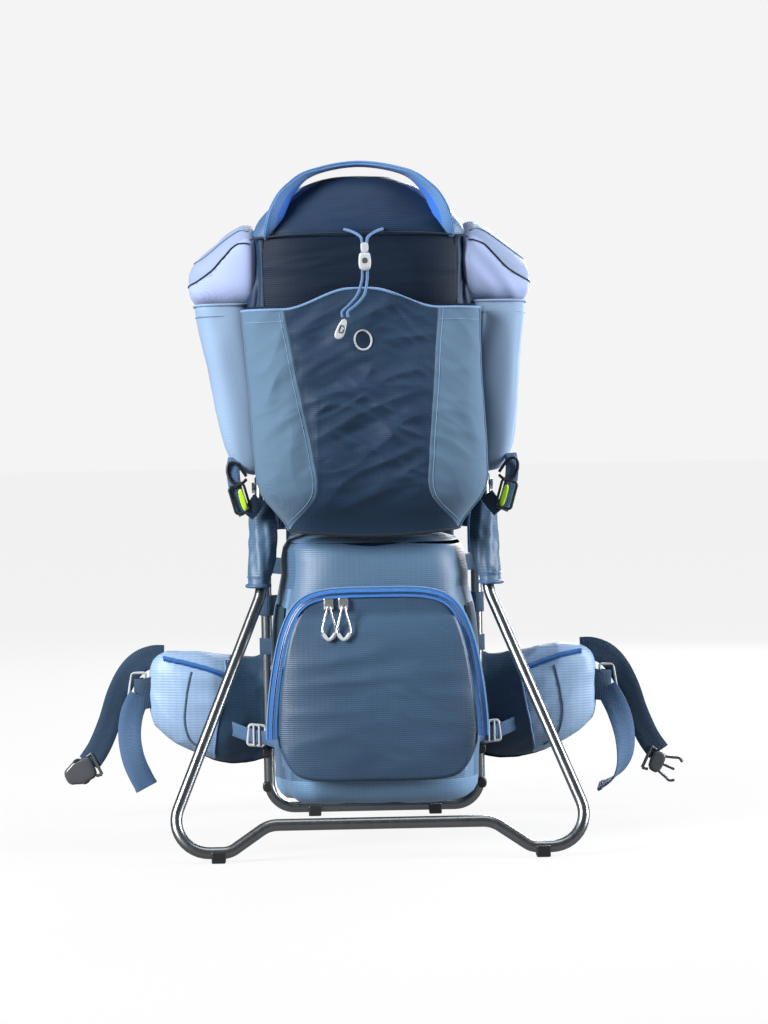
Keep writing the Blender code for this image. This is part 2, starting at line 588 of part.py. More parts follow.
def build_cord():
    for side, s in SIDES:
        tube(f"shock_cord_{side}", smooth_path(cord_route(s), 5), CORD_R, "cord_blue", (0, 0, 0), 2)
    lock = box("cord_lock", LOCK - Vector((0.0075, 0.0052, 0.0120)), LOCK + Vector((0.0075, 0.0052, 0.0100)),
               "grey_plastic", 0.0016)
    cut(lock, box("cord_way", LOCK - Vector((0.0043, 0.0022, 0.02)), LOCK + Vector((0.0043, 0.0022, 0.002)), None))
    cut(lock, box("lock_mouth", LOCK - Vector((0.0052, 0.0030, -0.0010)), LOCK + Vector((0.0052, 0.0030, 0.02)), None))
    button = box("cord_lock_button", LOCK + Vector((-0.0049, -0.0027, 0.0056)), LOCK + Vector((0.0049, 0.0027, 0.0170)),
                 "grey_plastic", 0.0006, LOCK + Vector((0, 0, 0.017)))
    cut(button, box("button_way", LOCK + Vector((-0.0044, -0.0021, -0.01)), LOCK + Vector((0.0044, 0.0021, 0.03)), None))
    tab = box("cord_pull_tab", TAB_TOP + Vector((-0.0125, -0.0015, -0.0230)), TAB_TOP + Vector((0.0040, 0.0015, -0.0003)),
              "steel", 0.0006)
    cut(tab, box("tab_window", TAB_TOP + Vector((-0.0095, -0.01, -0.0200)), TAB_TOP + Vector((0.0010, 0.01, -0.0060)), None))


build_frame()
build_hinges()
build_kickstand()
build_shell()
build_wings()
build_front_pocket()
build_headrest()
build_bag()
build_door()
build_inside()
build_back()
build_hip_belt()
build_belt_ends()
build_side_fittings()
build_cord()
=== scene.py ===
"""Looks of the framed child carrier: cloth, webbing, cords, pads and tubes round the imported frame."""
import math

import bmesh
import bpy
from mathutils import Matrix, Vector, noise


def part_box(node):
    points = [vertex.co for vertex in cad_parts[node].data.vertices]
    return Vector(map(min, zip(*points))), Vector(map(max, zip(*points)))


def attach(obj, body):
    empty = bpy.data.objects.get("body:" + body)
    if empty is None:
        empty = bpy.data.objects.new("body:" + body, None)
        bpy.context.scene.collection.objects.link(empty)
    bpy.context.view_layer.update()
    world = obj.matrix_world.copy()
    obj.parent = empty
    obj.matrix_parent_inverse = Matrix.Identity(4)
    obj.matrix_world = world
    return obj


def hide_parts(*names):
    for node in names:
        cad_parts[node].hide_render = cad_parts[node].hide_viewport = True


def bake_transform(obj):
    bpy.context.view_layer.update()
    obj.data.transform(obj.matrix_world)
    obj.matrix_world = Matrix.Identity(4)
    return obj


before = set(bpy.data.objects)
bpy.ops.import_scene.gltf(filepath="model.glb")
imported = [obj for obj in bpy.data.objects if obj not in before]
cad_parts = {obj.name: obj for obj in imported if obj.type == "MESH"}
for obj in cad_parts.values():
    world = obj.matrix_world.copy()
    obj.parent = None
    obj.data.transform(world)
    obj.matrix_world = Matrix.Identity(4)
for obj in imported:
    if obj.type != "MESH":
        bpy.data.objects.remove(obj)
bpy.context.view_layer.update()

SIDES = (("left", -1), ("right", 1))
SHARP_ANGLE = math.radians(50)
WEB_THICK = 0.0018
STRAP_WIDE = 0.0195
SEAM_R = 0.0011
LEAN = 0.01
LEAN_LOW = 0.33
LEAN_HIGH = 0.58
ROOT = "carrier"


# Camera, light and floor

CAMERA_PLACE = Vector((-0.0496, -3.1, 0.4346))
CAMERA_YAW = math.radians(1.152)
CAMERA_PITCH = math.radians(1.731)
CAMERA_ROLL = math.radians(1.0165)
FOCAL_LENGTH = 102.7
BACKDROP_SEEN = 0.905
BACKDROP_LIGHT = 0.11
FLOOR_SEEN = 0.875
FLOOR_LIGHT = 0.22
FLOOR_GREY = (0.055, 0.055, 0.055)
FLOOR_DROP = 0.0006
WHITE = (1, 1, 1)
# Each light's name, place, aim, size, power and colour
LIGHTS = (("key_left", (-1.85, -1.25, 1.15), (0, 0, 0.38), (0.7, 1.4), 124, WHITE),
          ("key_right", (1.75, -0.32, 0.8), (0, 0, 0.38), (0.5, 1.5), 66, (0.94, 0.97, 1.0)),
          ("top", (0, -0.2, 2.3), (0, 0, 0.3), (1.4, 1.2), 16, WHITE),
          ("back", (0.9, 2.1, 1.2), (0, 0, 0.4), (1.2, 1.4), 85, WHITE))


def build_camera():
    data = bpy.data.cameras.new("camera")
    data.sensor_width = 36.0
    data.lens = FOCAL_LENGTH
    data.clip_end = 30.0
    camera = bpy.data.objects.new("camera", data)
    bpy.context.scene.collection.objects.link(camera)
    turn = Matrix.Rotation(-CAMERA_YAW, 4, "Z") @ Matrix.Rotation(math.radians(90) - CAMERA_PITCH, 4, "X")
    camera.matrix_world = Matrix.Translation(CAMERA_PLACE) @ turn @ Matrix.Rotation(-CAMERA_ROLL, 4, "Z")
    bpy.context.scene.camera = camera


def area_light(name, place, target, size, power, colour):
    data = bpy.data.lights.new(name, "AREA")
    data.shape = "RECTANGLE"
    data.size, data.size_y = size
    data.energy = power
    data.color = colour
    light = bpy.data.objects.new(name, data)
    bpy.context.scene.collection.objects.link(light)
    light.location = place
    light.rotation_euler = (Vector(target) - Vector(place)).to_track_quat("-Z", "Y").to_euler()


def studio_glow(tree, seen, light):
    """A white studio's brightness: what is seen of it, and how much of it lights the object."""
    path = tree.nodes.new("ShaderNodeLightPath")
    extra = arithmetic(tree, "MULTIPLY", path.outputs["Is Camera Ray"], seen - light)
    return arithmetic(tree, "ADD", extra, light)


def build_studio():
    world = bpy.data.worlds.new("studio")
    bpy.context.scene.world = world
    world.use_nodes = True
    tree = world.node_tree
    backdrop = tree.nodes["Background"]
    backdrop.inputs["Color"].default_value = (1.0, 1.0, 1.0, 1)
    tree.links.new(studio_glow(tree, BACKDROP_SEEN, BACKDROP_LIGHT), backdrop.inputs["Strength"])
    bpy.context.scene.view_settings.view_transform = "Standard"
    for light in LIGHTS:
        area_light(*light)
    bm = bmesh.new()
    bmesh.ops.create_grid(bm, x_segments=1, y_segments=1, size=40.0)
    floor = mesh_piece("floor", bm, "floor")
    floor.location.z = -FLOOR_DROP


# Materials

def new_material(name, colour, roughness, metallic=0.0, **sockets):
    made = bpy.data.materials.new(name)
    made.use_nodes = True
    shader = made.node_tree.nodes["Principled BSDF"]
    shader.inputs["Base Color"].default_value = (*colour, 1)
    shader.inputs["Roughness"].default_value = roughness
    shader.inputs["Metallic"].default_value = metallic
    for socket, value in sockets.items():
        shader.inputs[socket.replace("_", " ")].default_value = value
    return made


def node(tree, kind, **settings):
    made = tree.nodes.new(kind)
    for key, value in settings.items():
        if key in made.inputs:
            made.inputs[key].default_value = value
        else:
            setattr(made, key, value)
    return made


def coordinates(tree, stretch=(1, 1, 1), kind="Object"):
    """Texture coordinates in metres, scaled along each axis."""
    source = tree.nodes.new("ShaderNodeTexCoord")
    mapping = tree.nodes.new("ShaderNodeMapping")
    mapping.inputs["Scale"].default_value = stretch
    tree.links.new(source.outputs[kind], mapping.inputs["Vector"])
    return mapping.outputs["Vector"]


def noise_of(tree, scale, detail=3.0, stretch=(1, 1, 1)):
    texture = node(tree, "ShaderNodeTexNoise", Scale=scale, Detail=detail)
    tree.links.new(coordinates(tree, stretch), texture.inputs["Vector"])
    return texture.outputs["Fac"]


def bands_of(tree, period, axis, kind="Object", warp=0.0):
    """Even bands, one each period metres along an axis."""
    texture = node(tree, "ShaderNodeTexWave", Scale=0.314 / period, Distortion=warp)
    texture.bands_direction = axis
    texture.inputs["Detail Scale"].default_value = 2.0
    tree.links.new(coordinates(tree, (1, 1, 1), kind), texture.inputs["Vector"])
    return texture.outputs["Fac"]


def mixed_colour(tree, factor, low, high):
    ramp = tree.nodes.new("ShaderNodeValToRGB")
    ramp.color_ramp.elements[0].color = (*low, 1)
    ramp.color_ramp.elements[1].color = (*high, 1)
    tree.links.new(factor, ramp.inputs["Fac"])
    return ramp.outputs["Color"]


def arithmetic(tree, operation, a, b):
    made = node(tree, "ShaderNodeMath", operation=operation)
    for socket, value in zip(made.inputs, (a, b)):
        if isinstance(value, (int, float)):
            socket.default_value = value
        else:
            tree.links.new(value, socket)
    return made.outputs[0]


def bump(tree, height, strength, distance):
    made = node(tree, "ShaderNodeBump", Strength=strength, Distance=distance)
    tree.links.new(height, made.inputs["Height"])
    tree.links.new(made.outputs["Normal"], tree.nodes["Principled BSDF"].inputs["Normal"])


def shades(colour, spread):
    return tuple(c * (1 - spread) for c in colour), tuple(min(1.0, c * (1 + spread)) for c in colour)


def finish_cloth(made, colour, height, spread, depth, strength=0.5):
    """Colour that wanders with a broad and a fine noise, roughness with it, and a weave in the bump."""
    tree = made.node_tree
    shader = tree.nodes["Principled BSDF"]
    broad = noise_of(tree, 9.0, 4.0)
    fine = noise_of(tree, 900.0, 2.0)
    both = arithmetic(tree, "ADD", arithmetic(tree, "MULTIPLY", broad, 0.55),
                      arithmetic(tree, "MULTIPLY", fine, 0.25))
    both = arithmetic(tree, "ADD", both, arithmetic(tree, "MULTIPLY", height, 0.28))
    low, high = shades(colour, spread)
    tree.links.new(mixed_colour(tree, both, low, high), shader.inputs["Base Color"])
    rough = node(tree, "ShaderNodeMapRange")
    rough.inputs["To Min"].default_value = shader.inputs["Roughness"].default_value - 0.08
    rough.inputs["To Max"].default_value = shader.inputs["Roughness"].default_value + 0.1
    tree.links.new(both, rough.inputs["Value"])
    tree.links.new(rough.outputs["Result"], shader.inputs["Roughness"])
    tall = arithmetic(tree, "ADD", height, arithmetic(tree, "MULTIPLY", fine, 0.6))
    bump(tree, tall, strength, depth)
    return made


def ripstop(name, colour, roughness=0.44, period=0.0021, spread=0.36, sheen=0.04, gloss=0.4):
    """Tight coated cloth with fine raised ribs across and a fainter grid up and down."""
    made = new_material(name, colour, roughness, Sheen_Weight=sheen, Sheen_Roughness=0.4,
                        Specular_IOR_Level=gloss)
    tree = made.node_tree
    across = bands_of(tree, period, "Z", warp=0.6)
    upright = arithmetic(tree, "MULTIPLY", bands_of(tree, period * 2.5, "X"), 0.25)
    return finish_cloth(made, colour, arithmetic(tree, "ADD", across, upright), spread, 0.00022)


def stretch_cloth(name, colour, roughness=0.78, spread=0.22, sheen=0.1):
    """Matt knitted stretch cloth with a fine diagonal grain."""
    made = new_material(name, colour, roughness, Sheen_Weight=sheen, Sheen_Roughness=0.5,
                        Specular_IOR_Level=0.22)
    tree = made.node_tree
    knit = bands_of(tree, 0.0011, "DIAGONAL", warp=1.2)
    return finish_cloth(made, colour, knit, spread, 0.00012, 0.4)


def woven_web(name, colour, roughness=0.62, spread=0.35, period=0.0016):
    """Webbing: ribs across its width and lines along its length, from its own length and width coordinates.
    """
    made = new_material(name, colour, roughness, Sheen_Weight=0.1, Sheen_Roughness=0.4,
                        Specular_IOR_Level=0.3)
    tree = made.node_tree
    along = bands_of(tree, period, "Y", "UV")
    across = bands_of(tree, period * 0.8, "X", "UV")
    weave = arithmetic(tree, "MULTIPLY", along, arithmetic(tree, "ADD", across, 0.35))
    return finish_cloth(made, colour, weave, spread, 0.0004, 0.7)


def spacer_mesh(name, colour):
    """Open knitted spacer fabric: rows of small dark cells in a lighter net."""
    made = new_material(name, colour, 0.85, Sheen_Weight=0.2)
    tree = made.node_tree
    cells = node(tree, "ShaderNodeTexVoronoi", Scale=330.0, Randomness=0.35)
    tree.links.new(coordinates(tree, (1, 1, 0.7)), cells.inputs["Vector"])
    ramp = node(tree, "ShaderNodeMapRange")
    ramp.inputs["From Min"].default_value = 0.15
    ramp.inputs["From Max"].default_value = 0.45
    tree.links.new(cells.outputs["Distance"], ramp.inputs["Value"])
    return finish_cloth(made, colour, ramp.outputs["Result"], 0.6, 0.0009, 0.8)


def plastic(name, colour, roughness=0.38):
    made = new_material(name, colour, roughness, Coat_Weight=0.08)
    tree = made.node_tree
    low, high = shades(colour, 0.12)
    grain = noise_of(tree, 1400.0, 2.0)
    wear = noise_of(tree, 60.0, 5.0)
    tree.links.new(mixed_colour(tree, wear, low, high), tree.nodes["Principled BSDF"].inputs["Base Color"])
    bump(tree, grain, 0.25, 0.00012)
    return made


def metal(name, colour, roughness, streak=(1, 1, 1)):
    made = new_material(name, colour, roughness, 1.0)
    tree = made.node_tree
    shader = tree.nodes["Principled BSDF"]
    marks = noise_of(tree, 220.0, 6.0, streak)
    low, high = shades(colour, 0.08)
    tree.links.new(mixed_colour(tree, marks, low, high), shader.inputs["Base Color"])
    rough = node(tree, "ShaderNodeMapRange")
    rough.inputs["To Min"].default_value = roughness - 0.04
    rough.inputs["To Max"].default_value = roughness + 0.08
    tree.links.new(marks, rough.inputs["Value"])
    tree.links.new(rough.outputs["Result"], shader.inputs["Roughness"])
    bump(tree, marks, 0.05, 0.00005)
    return made


def pale_floor():
    made = new_material("pale_floor", FLOOR_GREY, 0.95, Specular_IOR_Level=0.0)
    tree = made.node_tree
    tree.nodes["Principled BSDF"].inputs["Emission Color"].default_value = (1.0, 1.0, 1.0, 1)
    tree.links.new(studio_glow(tree, FLOOR_SEEN, FLOOR_LIGHT),
                   tree.nodes["Principled BSDF"].inputs["Emission Strength"])
    low, high = shades(FLOOR_GREY, 0.02)
    tree.links.new(mixed_colour(tree, noise_of(tree, 3.0), low, high),
                   tree.nodes["Principled BSDF"].inputs["Base Color"])
    return made


MATERIALS = {}


def build_materials():
    """Every look by its key."""
    MATERIALS.update(
        panel=ripstop("ripstop_mid", (0.011, 0.0285, 0.059), 0.56, gloss=0.18),
        navy=ripstop("ripstop_navy", (0.0022, 0.008, 0.021), 0.6, sheen=0.0, gloss=0.16),
        lid=ripstop("ripstop_lid", (0.008, 0.023, 0.055), 0.5, gloss=0.2),
        lining=ripstop("lining_dark", (0.008, 0.014, 0.026), period=0.004),
        bag=ripstop("ripstop_bag", (0.064, 0.122, 0.205)),
        bag_side=ripstop("ripstop_bag_side", (0.105, 0.18, 0.3)),
        door=ripstop("ripstop_door", (0.026, 0.06, 0.112), 0.42, gloss=0.5),
        base=ripstop("ripstop_base", (0.13, 0.235, 0.38)),
        stretch=stretch_cloth("stretch_mid", (0.07, 0.126, 0.195)),
        side=stretch_cloth("stretch_side", (0.18, 0.262, 0.385)),
        wing=stretch_cloth("wing_light", (0.245, 0.305, 0.49), 0.6),
        wing_dark=stretch_cloth("wing_dark", (0.19, 0.24, 0.37), 0.6),
        belt=ripstop("belt_light", (0.215, 0.318, 0.47), 0.42, 0.003),
        belt_dark=ripstop("belt_dark", (0.018, 0.045, 0.085), 0.5, 0.003),
        cheek=ripstop("ripstop_cheek", (0.042, 0.088, 0.18)),
        # The sleeve cloth; build_bag also lays it on the bag's upper corners as painted shade.
        sleeve=ripstop("sleeve_blue_and_corner_shade", (0.045, 0.092, 0.16), 0.45, 0.003),
        band=stretch_cloth("side_band", (0.01, 0.032, 0.055)),
        web=woven_web("webbing_blue", (0.022, 0.05, 0.092)),
        web_light=woven_web("webbing_light", (0.06, 0.12, 0.225)),
        handle_in=woven_web("handle_bright", (0.022, 0.12, 0.48)),
        handle_out=woven_web("handle_pale", (0.07, 0.17, 0.37)),
        piping=stretch_cloth("piping_dark", (0.006, 0.01, 0.018), 0.6),
        piping_light=stretch_cloth("piping_light", (0.12, 0.22, 0.38), 0.6),
        thread=stretch_cloth("thread", (0.12, 0.2, 0.32), 0.6),
        tape=woven_web("zip_tape", (0.03, 0.145, 0.43), period=0.001),
        teeth=plastic("zip_teeth", (0.012, 0.05, 0.15), 0.35),
        mesh=spacer_mesh("spacer_mesh", (0.035, 0.06, 0.095)),
        cord=woven_web("cord_braid", (0.08, 0.16, 0.3), period=0.002),
        black=plastic("plastic_black", (0.012, 0.013, 0.015)),
        smoke=plastic("plastic_smoke", (0.06, 0.066, 0.072), 0.24),
        grey=plastic("plastic_grey", (0.4, 0.42, 0.45)),
        green=plastic("plastic_green", (0.37, 0.64, 0.01)),
        tube=metal("tube_gunmetal", (0.23, 0.248, 0.265), 0.27, (1, 1, 0.2)),
        steel=metal("steel_bright", (0.76, 0.77, 0.79), 0.22),
        floor=pale_floor())


# Mesh building

def mesh_piece(name, bm, look):
    """An object of this bmesh, smooth shaded, in world coordinates."""
    bm.normal_update()
    data = bpy.data.meshes.new(name)
    bm.to_mesh(data)
    bm.free()
    data.shade_smooth()
    data.set_sharp_from_angle(angle=SHARP_ANGLE)
    data.materials.append(MATERIALS[look])
    made = bpy.data.objects.new(name, data)
    bpy.context.scene.collection.objects.link(made)
    return made


def place(piece, body, slot, stands_for=()):
    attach(piece, body)
    if stands_for:
        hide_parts(*stands_for)
    return piece


def apply_modifiers(piece):
    graph = bpy.context.evaluated_depsgraph_get()
    data = bpy.data.meshes.new_from_object(piece.evaluated_get(graph))
    piece.modifiers.clear()
    piece.data = data
    return piece


def second_look(piece, look, chosen):
    """Gives the faces for which chosen(centre, normal) is true another material."""
    piece.data.materials.append(MATERIALS[look])
    place_in_list = len(piece.data.materials) - 1
    for face in piece.data.polygons:
        if chosen(face.center, face.normal):
            face.material_index = place_in_list


def ease(low, high, value):
    t = min(1.0, max(0.0, (value - low) / (high - low)))
    return t * t * (3 - 2 * t)


def lean(point):
    """The loaded cloth of the upper body stands a little to its left of the frame."""
    return Vector((point.x - LEAN * ease(LEAN_LOW, LEAN_HIGH, point.z), point.y, point.z))


def still(point):
    return point


def spline(a, b, c, d, t):
    """The smooth (Catmull-Rom) value between b and c, t of the way."""
    return 0.5 * (2 * b + (c - a) * t + (2 * a - 5 * b + 4 * c - d) * t * t
                  + (3 * b - a - 3 * c + d) * t ** 3)


def between(knots, t):
    """A smooth value at t through evenly spaced knots, which may be numbers or tuples."""
    if not isinstance(knots[0], (int, float)):
        return tuple(between([k[i] for k in knots], t) for i in range(len(knots[0])))
    place_at = min(max(t, 0.0), 1.0) * (len(knots) - 1)
    i = min(int(place_at), len(knots) - 2)
    f = place_at - i
    a, b = knots[max(i - 1, 0)], knots[i]
    c, d = knots[i + 1], knots[min(i + 2, len(knots) - 1)]
    return spline(a, b, c, d, f)


def curve_through(knots, steps=8):
    """Points of a smooth curve through the knots."""
    count = (len(knots) - 1) * steps
    return [Vector(between([tuple(k) for k in knots], i / count)) for i in range(count + 1)]


def to_side(s, points):
    """Points of the right side, mirrored for the left one."""
    return [(s * x, y, z) for x, y, z in points]


def resampled(points, count):
    """The same line with evenly spaced points."""
    points = [Vector(p) for p in points]
    ends = [0.0]
    for a, b in zip(points, points[1:]):
        ends.append(ends[-1] + (b - a).length)
    made = []
    j = 0
    for i in range(count):
        want = ends[-1] * i / (count - 1)
        while j < len(ends) - 2 and ends[j + 1] < want:
            j += 1
        span = max(ends[j + 1] - ends[j], 1e-9)
        made.append(points[j].lerp(points[j + 1], (want - ends[j]) / span))
    return made


def join_rings(bm, a, b):
    """A closed wall of faces between two rings of points."""
    for k in range(len(a)):
        m = (k + 1) % len(a)
        bm.faces.new((a[k], a[m], b[m], b[k]))


def tube_piece(name, points, radius, look, sides=8, closed=False, shift=lean):
    """A round cord, seam or piping along points."""
    points = [shift(Vector(p)) for p in points]
    bm = bmesh.new()
    rows = []
    count = len(points)
    up = Vector((0.13, 0.2, 0.97))
    for i, point in enumerate(points):
        before = points[i - 1] if i or closed else point
        after = points[(i + 1) % count] if i < count - 1 or closed else point
        ahead = (after - before).normalized()
        side = ahead.cross(up).normalized()
        up = side.cross(ahead).normalized()
        rows.append([bm.verts.new(point + radius * (side * math.cos(2 * math.pi * k / sides)
                                                    + up * math.sin(2 * math.pi * k / sides)))
                     for k in range(sides)])
    pairs = list(zip(rows, rows[1:])) + ([(rows[-1], rows[0])] if closed else [])
    for a, b in pairs:
        join_rings(bm, a, b)
    if not closed:
        bm.faces.new(list(reversed(rows[0])))
        bm.faces.new(rows[-1])
    bmesh.ops.recalc_face_normals(bm, faces=bm.faces)
    return mesh_piece(name, bm, look)


def tube(name, points, radius, look, body, slot, sides=8, closed=False, shift=still, stands_for=()):
    """A tube piece on its body, with the cloth's lean only where that is the shift."""
    made = tube_piece(name, points, radius, look, sides, closed, shift)
    return place(made, body, slot, stands_for)


def lay_web(name, knots, count, across, width, look, body, thick=WEB_THICK):
    """Webbing along a smooth curve through the knots."""
    path = resampled(curve_through(knots), count)
    place(ribbon_piece(name, path, across, width, look, thick), body, "webbing")


def ribbon_piece(name, path, across, width, look, thick=WEB_THICK, shift=None, crown=0.0):
    """Webbing along a path with rounded selvedges, and length and width coordinates for its weave.

    across is one direction or one for each end; width is one number or one for each end."""
    path = [Vector(p) for p in path]
    count = len(path)
    across = across if isinstance(across, list) else [across, across]
    width = width if isinstance(width, (list, tuple)) else (width, width)
    outline = [(-1.0, -0.5), (-0.94, -1.0), (-0.4, -1.0), (0.0, -1.0), (0.4, -1.0), (0.94, -1.0),
               (1.0, -0.5), (1.0, 0.5), (0.94, 1.0), (0.4, 1.0), (0.0, 1.0), (-0.4, 1.0), (-0.94, 1.0),
               (-1.0, 0.5)]
    bm = bmesh.new()
    layer = bm.loops.layers.uv.new("UVMap")
    rows = []
    run = 0.0
    runs = []
    for i, point in enumerate(path):
        t = i / (count - 1)
        ahead = (path[min(i + 1, count - 1)] - path[max(i - 1, 0)]).normalized()
        wide = Vector(between([tuple(a) for a in across], t)).normalized()
        wide = (wide - ahead * wide.dot(ahead)).normalized()
        normal = ahead.cross(wide)
        half = between(list(width), t) / 2
        if i:
            run += (point - path[i - 1]).length
        runs.append(run)
        row = []
        for u, v in outline:
            place_at = point + wide * half * u + normal * (thick / 2 * v + crown * (1 - u * u))
            row.append(bm.verts.new(shift(place_at) if shift else place_at))
        rows.append((row, half))
    size = len(outline)
    for i in range(count - 1):
        (a, half_a), (b, half_b) = rows[i], rows[i + 1]
        for k in range(size):
            m = (k + 1) % size
            face = bm.faces.new((a[k], a[m], b[m], b[k]))
            marks = ((outline[k][0] * half_a, runs[i]), (outline[m][0] * half_a, runs[i]),
                     (outline[m][0] * half_b, runs[i + 1]), (outline[k][0] * half_b, runs[i + 1]))
            for loop, mark in zip(face.loops, marks):
                loop[layer].uv = mark
    bm.faces.new(list(reversed(rows[0][0])))
    bm.faces.new(rows[-1][0])
    bmesh.ops.recalc_face_normals(bm, faces=bm.faces)
    return mesh_piece(name, bm, look)


def thicken(piece, thick):
    solid = piece.modifiers.new("thickness", "SOLIDIFY")
    solid.thickness = thick
    solid.offset = -1.0
    apply_modifiers(piece)


def cut(piece, cutter):
    """Takes the cutter's solid out of the piece, and the cutter out of the scene."""
    made = piece.modifiers.new("cut", "BOOLEAN")
    made.object = cutter
    made.solver = "EXACT"
    apply_modifiers(piece)
    bpy.data.objects.remove(cutter, do_unlink=True)


def grid_piece(name, columns, rows, at, look, thick=0.0012, shift=lean):
    """A cloth sheet: at(u, v) gives the point across and down, both from 0 to 1."""
    bm = bmesh.new()
    layer = bm.loops.layers.uv.new("UVMap")
    verts = [[bm.verts.new(shift(Vector(at(i / columns, j / rows)))) for i in range(columns + 1)]
             for j in range(rows + 1)]
    for j in range(rows):
        for i in range(columns):
            face = bm.faces.new((verts[j][i], verts[j + 1][i], verts[j + 1][i + 1], verts[j][i + 1]))
            for loop in face.loops:
                loop[layer].uv = (loop.vert.co.x, loop.vert.co.z)
    bm.normal_update()
    piece = mesh_piece(name, bm, look)
    thicken(piece, thick)
    return piece


def closed_loft(name, sections, look, subdivide=1, shift=lean, push=None, smooth_caps=True):
    """A closed solid through rings of equal counts, its ends drawn in to a soft cap."""
    bm = bmesh.new()
    rows = []
    for points in sections:
        rows.append([bm.verts.new(Vector(p)) for p in points])
    count = len(rows[0])
    for a, b in zip(rows, rows[1:]):
        join_rings(bm, a, b)
    for end in (rows[0], rows[-1]):
        if not smooth_caps:
            bm.faces.new(end)
            continue
        centre = sum((v.co for v in end), Vector()) / count
        inner = [bm.verts.new(v.co.lerp(centre, 0.45)) for v in end]
        join_rings(bm, end, inner)
        middle = bm.verts.new(centre)
        for k in range(count):
            bm.faces.new((inner[k], inner[(k + 1) % count], middle))
    bmesh.ops.recalc_face_normals(bm, faces=bm.faces)
    piece = mesh_piece(name, bm, look)
    if subdivide:
        soft = piece.modifiers.new("soft", "SUBSURF")
        soft.levels = soft.render_levels = subdivide
        apply_modifiers(piece)
    if push:
        for vert in piece.data.vertices:
            vert.co = push(vert.co.copy(), vert.normal.copy())
    for vert in piece.data.vertices:
        vert.co = shift(vert.co.copy())
    piece.data.shade_smooth()
    return piece


def super_ring(centre, half_a, half_b, axis, count=24, power=3.0):
    points = []
    for i in range(count):
        turn = 2 * math.pi * (i + 0.5) / count
        a = half_a * math.copysign(abs(math.cos(turn)) ** (2 / power), math.cos(turn))
        b = half_b * math.copysign(abs(math.sin(turn)) ** (2 / power), math.sin(turn))
        points.append(Vector(centre) + Vector({"z": (a, b, 0), "x": (0, a, b), "y": (a, 0, b)}[axis]))
    return points


def level_ring(z, x0, x1, y0, y1, count=32, power=3.5):
    return super_ring(((x0 + x1) / 2, (y0 + y1) / 2, z), (x1 - x0) / 2, (y1 - y0) / 2, "z", count, power)


def side_ring(x, y0, y1, z0, z1, count, power, inset=0.0):
    centre = (x, (y0 + y1) / 2, (z0 + z1) / 2)
    return super_ring(centre, (y1 - y0) / 2 - inset, (z1 - z0) / 2 - inset, "x", count, power)


def crease(x, z, seed, long_x, long_z, tilt=0.0):
    """Soft folded cloth, from -1 to 1: ridges that run along their long side and break up at random."""
    c, s = math.cos(tilt), math.sin(tilt)
    a = (x * c + z * s) / long_x
    b = (-x * s + z * c) / long_z
    wander = noise.noise(Vector((a * 0.6, b * 0.5, seed + 3.1)))
    value = noise.noise(Vector((a, b + wander * 0.8, seed)))
    finer = noise.noise(Vector((a * 2.1, b * 2.3, seed + 9.7)))
    ridge = 1.0 - 2.2 * abs(value)
    return 0.75 * ridge + 0.35 * finer


PAD_PRESSURE = 4.0
PAD_VOXEL = 0.005
CLOTH_FRAMES = 20


def swell(piece, cap):
    """Cloth simulation that fills a padded piece, each point moving no further than cap."""
    remesh = piece.modifiers.new("remesh", "REMESH")
    remesh.mode = "VOXEL"
    remesh.voxel_size = PAD_VOXEL
    apply_modifiers(piece)
    start = [v.co.copy() for v in piece.data.vertices]
    cloth = piece.modifiers.new("cloth", "CLOTH")
    cloth.settings.quality = 4
    cloth.settings.mass = 0.25
    cloth.settings.use_pressure = True
    cloth.settings.uniform_pressure_force = PAD_PRESSURE
    cloth.settings.effector_weights.gravity = 0.0
    cloth.settings.tension_stiffness = 12
    cloth.settings.compression_stiffness = 12
    cloth.settings.bending_stiffness = 0.4
    cloth.point_cache.frame_start = 1
    cloth.point_cache.frame_end = CLOTH_FRAMES
    for moment in range(1, CLOTH_FRAMES + 1):
        bpy.context.scene.frame_set(moment)
    apply_modifiers(piece)
    bpy.context.scene.frame_set(1)
    for vert, rest in zip(piece.data.vertices, start):
        move = vert.co - rest
        if move.length > cap:
            vert.co = rest + move.normalized() * cap
    smooth = piece.modifiers.new("smooth", "SMOOTH")
    smooth.factor = 0.6
    smooth.iterations = 4
    finer = piece.modifiers.new("finer", "SUBSURF")
    finer.levels = finer.render_levels = 1
    apply_modifiers(piece)
    piece.data.shade_smooth()
    return piece


# Upper body: shell, hem panel, wings and side pockets

SHELL_LEVELS = ((0.329, 0.08, -0.096, 0.112), (0.338, 0.09, -0.104, 0.118), (0.362, 0.098, -0.112, 0.125),
                (0.42, 0.101, -0.116, 0.127), (0.48, 0.102, -0.118, 0.127), (0.56, 0.103, -0.116, 0.124),
                (0.627, 0.103, -0.108, 0.121))
LEG_HOLE = ((0.032, 0.4), (0.089, 0.48))


